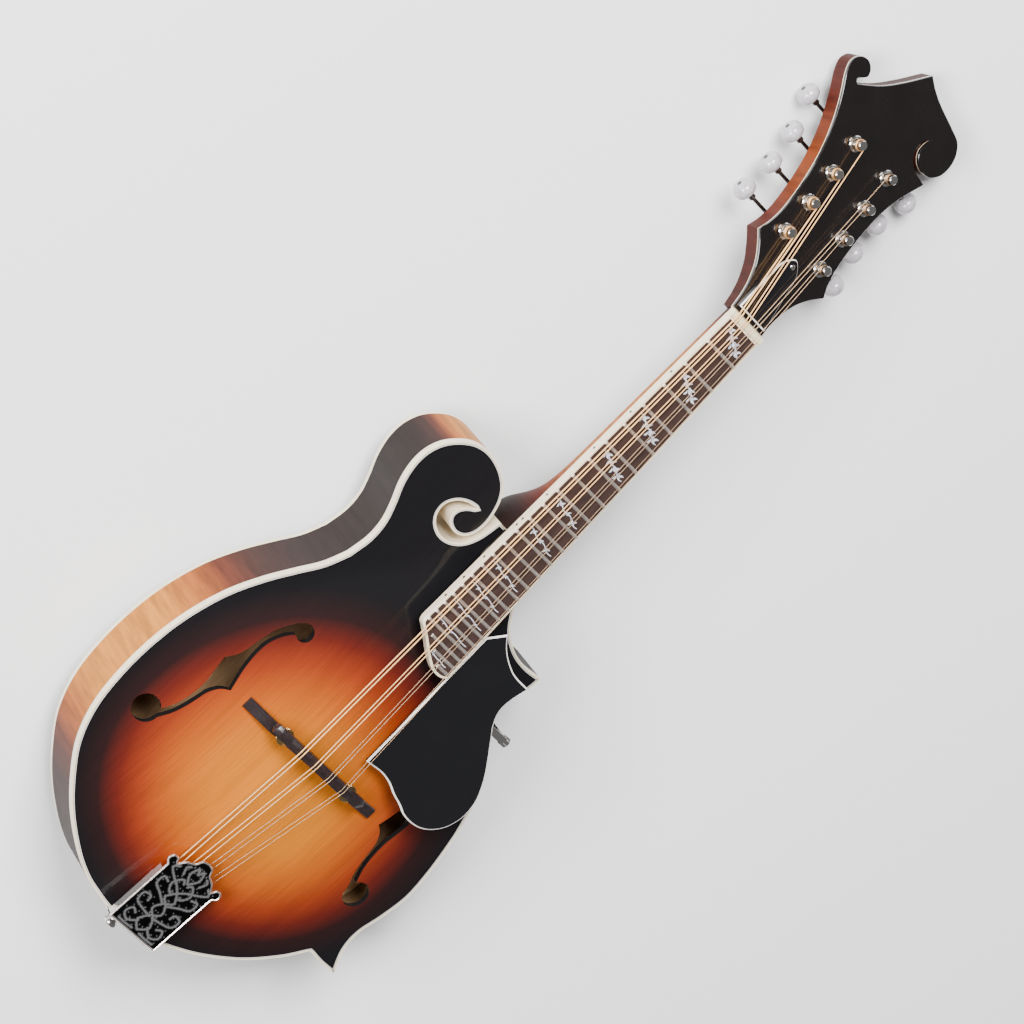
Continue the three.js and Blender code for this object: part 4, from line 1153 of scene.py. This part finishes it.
# A threaded length along X that meshes with a gear beside it
def worm(centre):
    loops = []
    for k in range(wormSize["slices"] + 1):
        x = -wormSize["half"] + 2 * wormSize["half"] * k / wormSize["slices"]
        ring = []
        for j in range(24):
            turn = j / 24
            wave = math.cos(2 * math.pi * (x / wormSize["pitch"] - turn - 0.5))
            radius = wormSize["radius"] + wormSize["thread"] * wave
            ring.append((centre[0] + x, centre[1] - radius * math.cos(2 * math.pi * turn),
                         centre[2] - radius * math.sin(2 * math.pi * turn)))
        loops.append(ring)
    return swept(loops)


def gear(centre):
    rim = []
    teeth, root, flank = gearSize["teeth"], gearSize["root"], gearSize["flank"]
    for tooth in range(teeth):
        for turn, radius in ((-0.5, gearSize["gap"]), (-0.28, root), (-0.14, flank), (0, gearSize["tip"]),
                             (0.14, flank), (0.28, root)):
            angle = math.pi / 2 + (tooth + turn) * 2 * math.pi / teeth
            rim.append((centre[0] + radius * math.cos(angle), centre[1] + radius * math.sin(angle)))
    z = centre[2]
    return swept([level(rim, z - gearSize["half"]), level(rim, z + gearSize["half"])])


plateSize = {"x": 16.9, "half": 5.6, "from": 46, "to": 136, "nose": 1.4, "low": -15.7, "high": -14.45,
             "earX": 4.7, "earHalf": 0.6, "screwY": (49.5, 87, 111, 133.5)}


# A plate under the headstock with two ears for each key shaft, and its screws
def tunerPlate(side, label):
    middle, half, low = plateSize["x"] * side, plateSize["half"], plateSize["low"]
    start, stop, nose = plateSize["from"], plateSize["to"], plateSize["to"] + plateSize["nose"]
    outline = through([(-half, start), (half, start)], 20) + through([(half, start), (half, stop)], 60)
    outline += through([(half, stop), (0, nose), (-half, stop)], 2)
    outline += through([(-half, stop), (-half, start)], 60)
    plate = [(middle + x, y) for x, y in outline]
    high = plateSize["high"]
    made = [swept([level(plate, low), level(plate, high - 0.1), level(inset(plate, 0.3), high)])]
    for x, y in [(p[2], p[3]) for p in postPlaces() if p[1] == side]:
        ear = [(y + 2.9, -15.6), (y + 2.9, -19.3), (y + 3.7, -21), (y + 5.5, -21.7), (y + 7.3, -21),
               (y + 8.1, -19.3), (y + 8.1, -15.6)]
        for face in (x - plateSize["earX"], x + plateSize["earX"]):
            ends = (face - plateSize["earHalf"], face + plateSize["earHalf"])
            made.append(swept([[(end, a, b) for a, b in ear] for end in ends]))
    piece(f"TunerPlate{label.title()}", joined(made), [nickel], space=headMatrix,
          nodes=[f"tuner_plate_{label}"])
    for k, y in enumerate(plateSize["screwY"]):
        made = turned([(1.3, low - 0.05), (1.3, low - 0.4), (0.5, low - 0.7)], 16, (middle, y, 0))
        piece(f"PlateScrew{label.title()}{k}", made, [nickel], space=headMatrix)


# profiles are radius and height; the button's heights start at its foot
tunerSize = {"shaftY": 5.5, "shaftZ": -19.3, "stem": 1.2, "collar": 2.2, "buttonHalf": 5,
             "post": [(2.9, -20.8), (2.9, 3.8), (2.75, 4.2), (2.75, 6.4), (2.95, 6.7), (2.95, 7.6),
                      (2.6, 7.95), (0.6, 8)],
             "bushing": [(3.1, 0.02), (5.0, 0.02), (5.0, 0.7), (4.5, 1.2), (3.7, 1.35), (3.45, 2.0),
                         (3.1, 2.0)],
             "button": [(1.0, -0.4), (2.3, -0.35), (3.2, 0.1), (5.2, 1.0), (6.6, 2.3), (7.05, 4.2),
                        (7.0, 5.6), (6.3, 7.6), (5.0, 9.0), (3.2, 9.75), (1.6, 9.9)],
             "buttonScrew": [(1.5, 9.6), (1.5, 9.92), (0.9, 9.98)]}


# A string post with its gear and bushing, and the key that turns it
def tuner(name, side, x, y, reach):
    tag, key, gearZ = name.upper(), f"key_{name}", tunerSize["shaftZ"]
    post = joined([turned(tunerSize["post"], 28, (x, y, 0)), gear((x, y, gearZ))])
    piece(f"Post{tag}", post, [nickel], body=f"post_{name}", space=headMatrix, nodes=[f"tuner_post_{name}"],
          crease=40)
    made = turned(tunerSize["bushing"], 32, (x, y, 0), closed=True)
    piece(f"Bushing{tag}", made, [nickel], space=headMatrix)
    length = reach - abs(x) - tunerSize["buttonHalf"]
    way = "X" if side > 0 else "-X"
    centre = (x, y + tunerSize["shaftY"], gearZ)
    stem, collar = tunerSize["stem"], tunerSize["collar"]
    shaft = turned([(stem, -5.5), (stem, length - 4), (collar, length - 3.6), (collar, length + 0.2)], 20,
                   centre, way)
    piece(f"KeyShaft{tag}", joined([shaft, worm(centre)]), [darkSteel], body=key, space=headMatrix,
          nodes=[f"tuner_key_{name}"], crease=50)
    made = turned([(r, length + h) for r, h in tunerSize["button"]], 36, centre, way)
    piece(f"Button{tag}", made, [buttonPearl], body=key, space=headMatrix, crease=50)
    made = turned([(r, length + h) for r, h in tunerSize["buttonScrew"]], 20, centre, way)
    piece(f"ButtonScrew{tag}", made, [darkSteel], body=key, space=headMatrix)


tunerPlate(-1, "bass")
tunerPlate(1, "treble")
for place in postPlaces():
    tuner(*place)
print("tuners done")


studio = {"floorHalf": 6, "paper": (0.9, 0.9, 0.9), "skyStrength": 0.2, "lampSize": 1.3,
          "lamps": {"KeyLight": ((-1.5, 1.3, 2.3), 210), "FillLight": ((-2.0, -0.9, 1.7), 130)}}


def stage():
    sheet = bmesh.new()
    bmesh.ops.create_grid(sheet, x_segments=1, y_segments=1, size=studio["floorHalf"])
    mesh = bpy.data.meshes.new("Floor")
    sheet.to_mesh(mesh)
    sheet.free()
    mesh.materials.append(finish("FloorPaper", studio["paper"], rough=0.9))
    floor = bpy.data.objects.new("Floor", mesh)
    bpy.context.scene.collection.objects.link(floor)
    world = bpy.context.scene.world or bpy.data.worlds.new("Studio")
    bpy.context.scene.world = world
    world.use_nodes = True
    world.node_tree.nodes["Background"].inputs["Color"].default_value = (1, 1, 1, 1)
    world.node_tree.nodes["Background"].inputs["Strength"].default_value = studio["skyStrength"]
    for name, (spot, power) in studio["lamps"].items():
        light = bpy.data.lights.new(name, "AREA")
        light.size = studio["lampSize"]
        light.energy = power
        lamp = bpy.data.objects.new(name, light)
        aim = (-Vector(spot)).to_track_quat("-Z", "Y").to_matrix().to_4x4()  # towards the middle
        lamp.matrix_world = Matrix.Translation(spot) @ aim
        bpy.context.scene.collection.objects.link(lamp)


view = {"lens": 169.0, "spot": (-1.51973, 0.28632, 2.35397), "across": (0.60012, 0.71902, 0.35054),
        "rise": (-0.59262, 0.69397, -0.40891), "ahead": (0.53728, -0.03766, -0.84256)}


def camera():
    lens = bpy.data.cameras.new("Camera")
    lens.lens = view["lens"]
    lens.sensor_width = 36
    lens.clip_start = 0.05
    lens.clip_end = 50
    eye = bpy.data.objects.new("Camera", lens)
    across, rise, ahead = Vector(view["across"]), Vector(view["rise"]), Vector(view["ahead"])
    spot = Vector(view["spot"]) + shift
    eye.matrix_world = Matrix(((across.x, rise.x, -ahead.x, spot.x), (across.y, rise.y, -ahead.y, spot.y),
                               (across.z, rise.z, -ahead.z, spot.z), (0, 0, 0, 1)))
    bpy.context.scene.collection.objects.link(eye)
    bpy.context.scene.camera = eye


stage()
camera()
print("stage done")
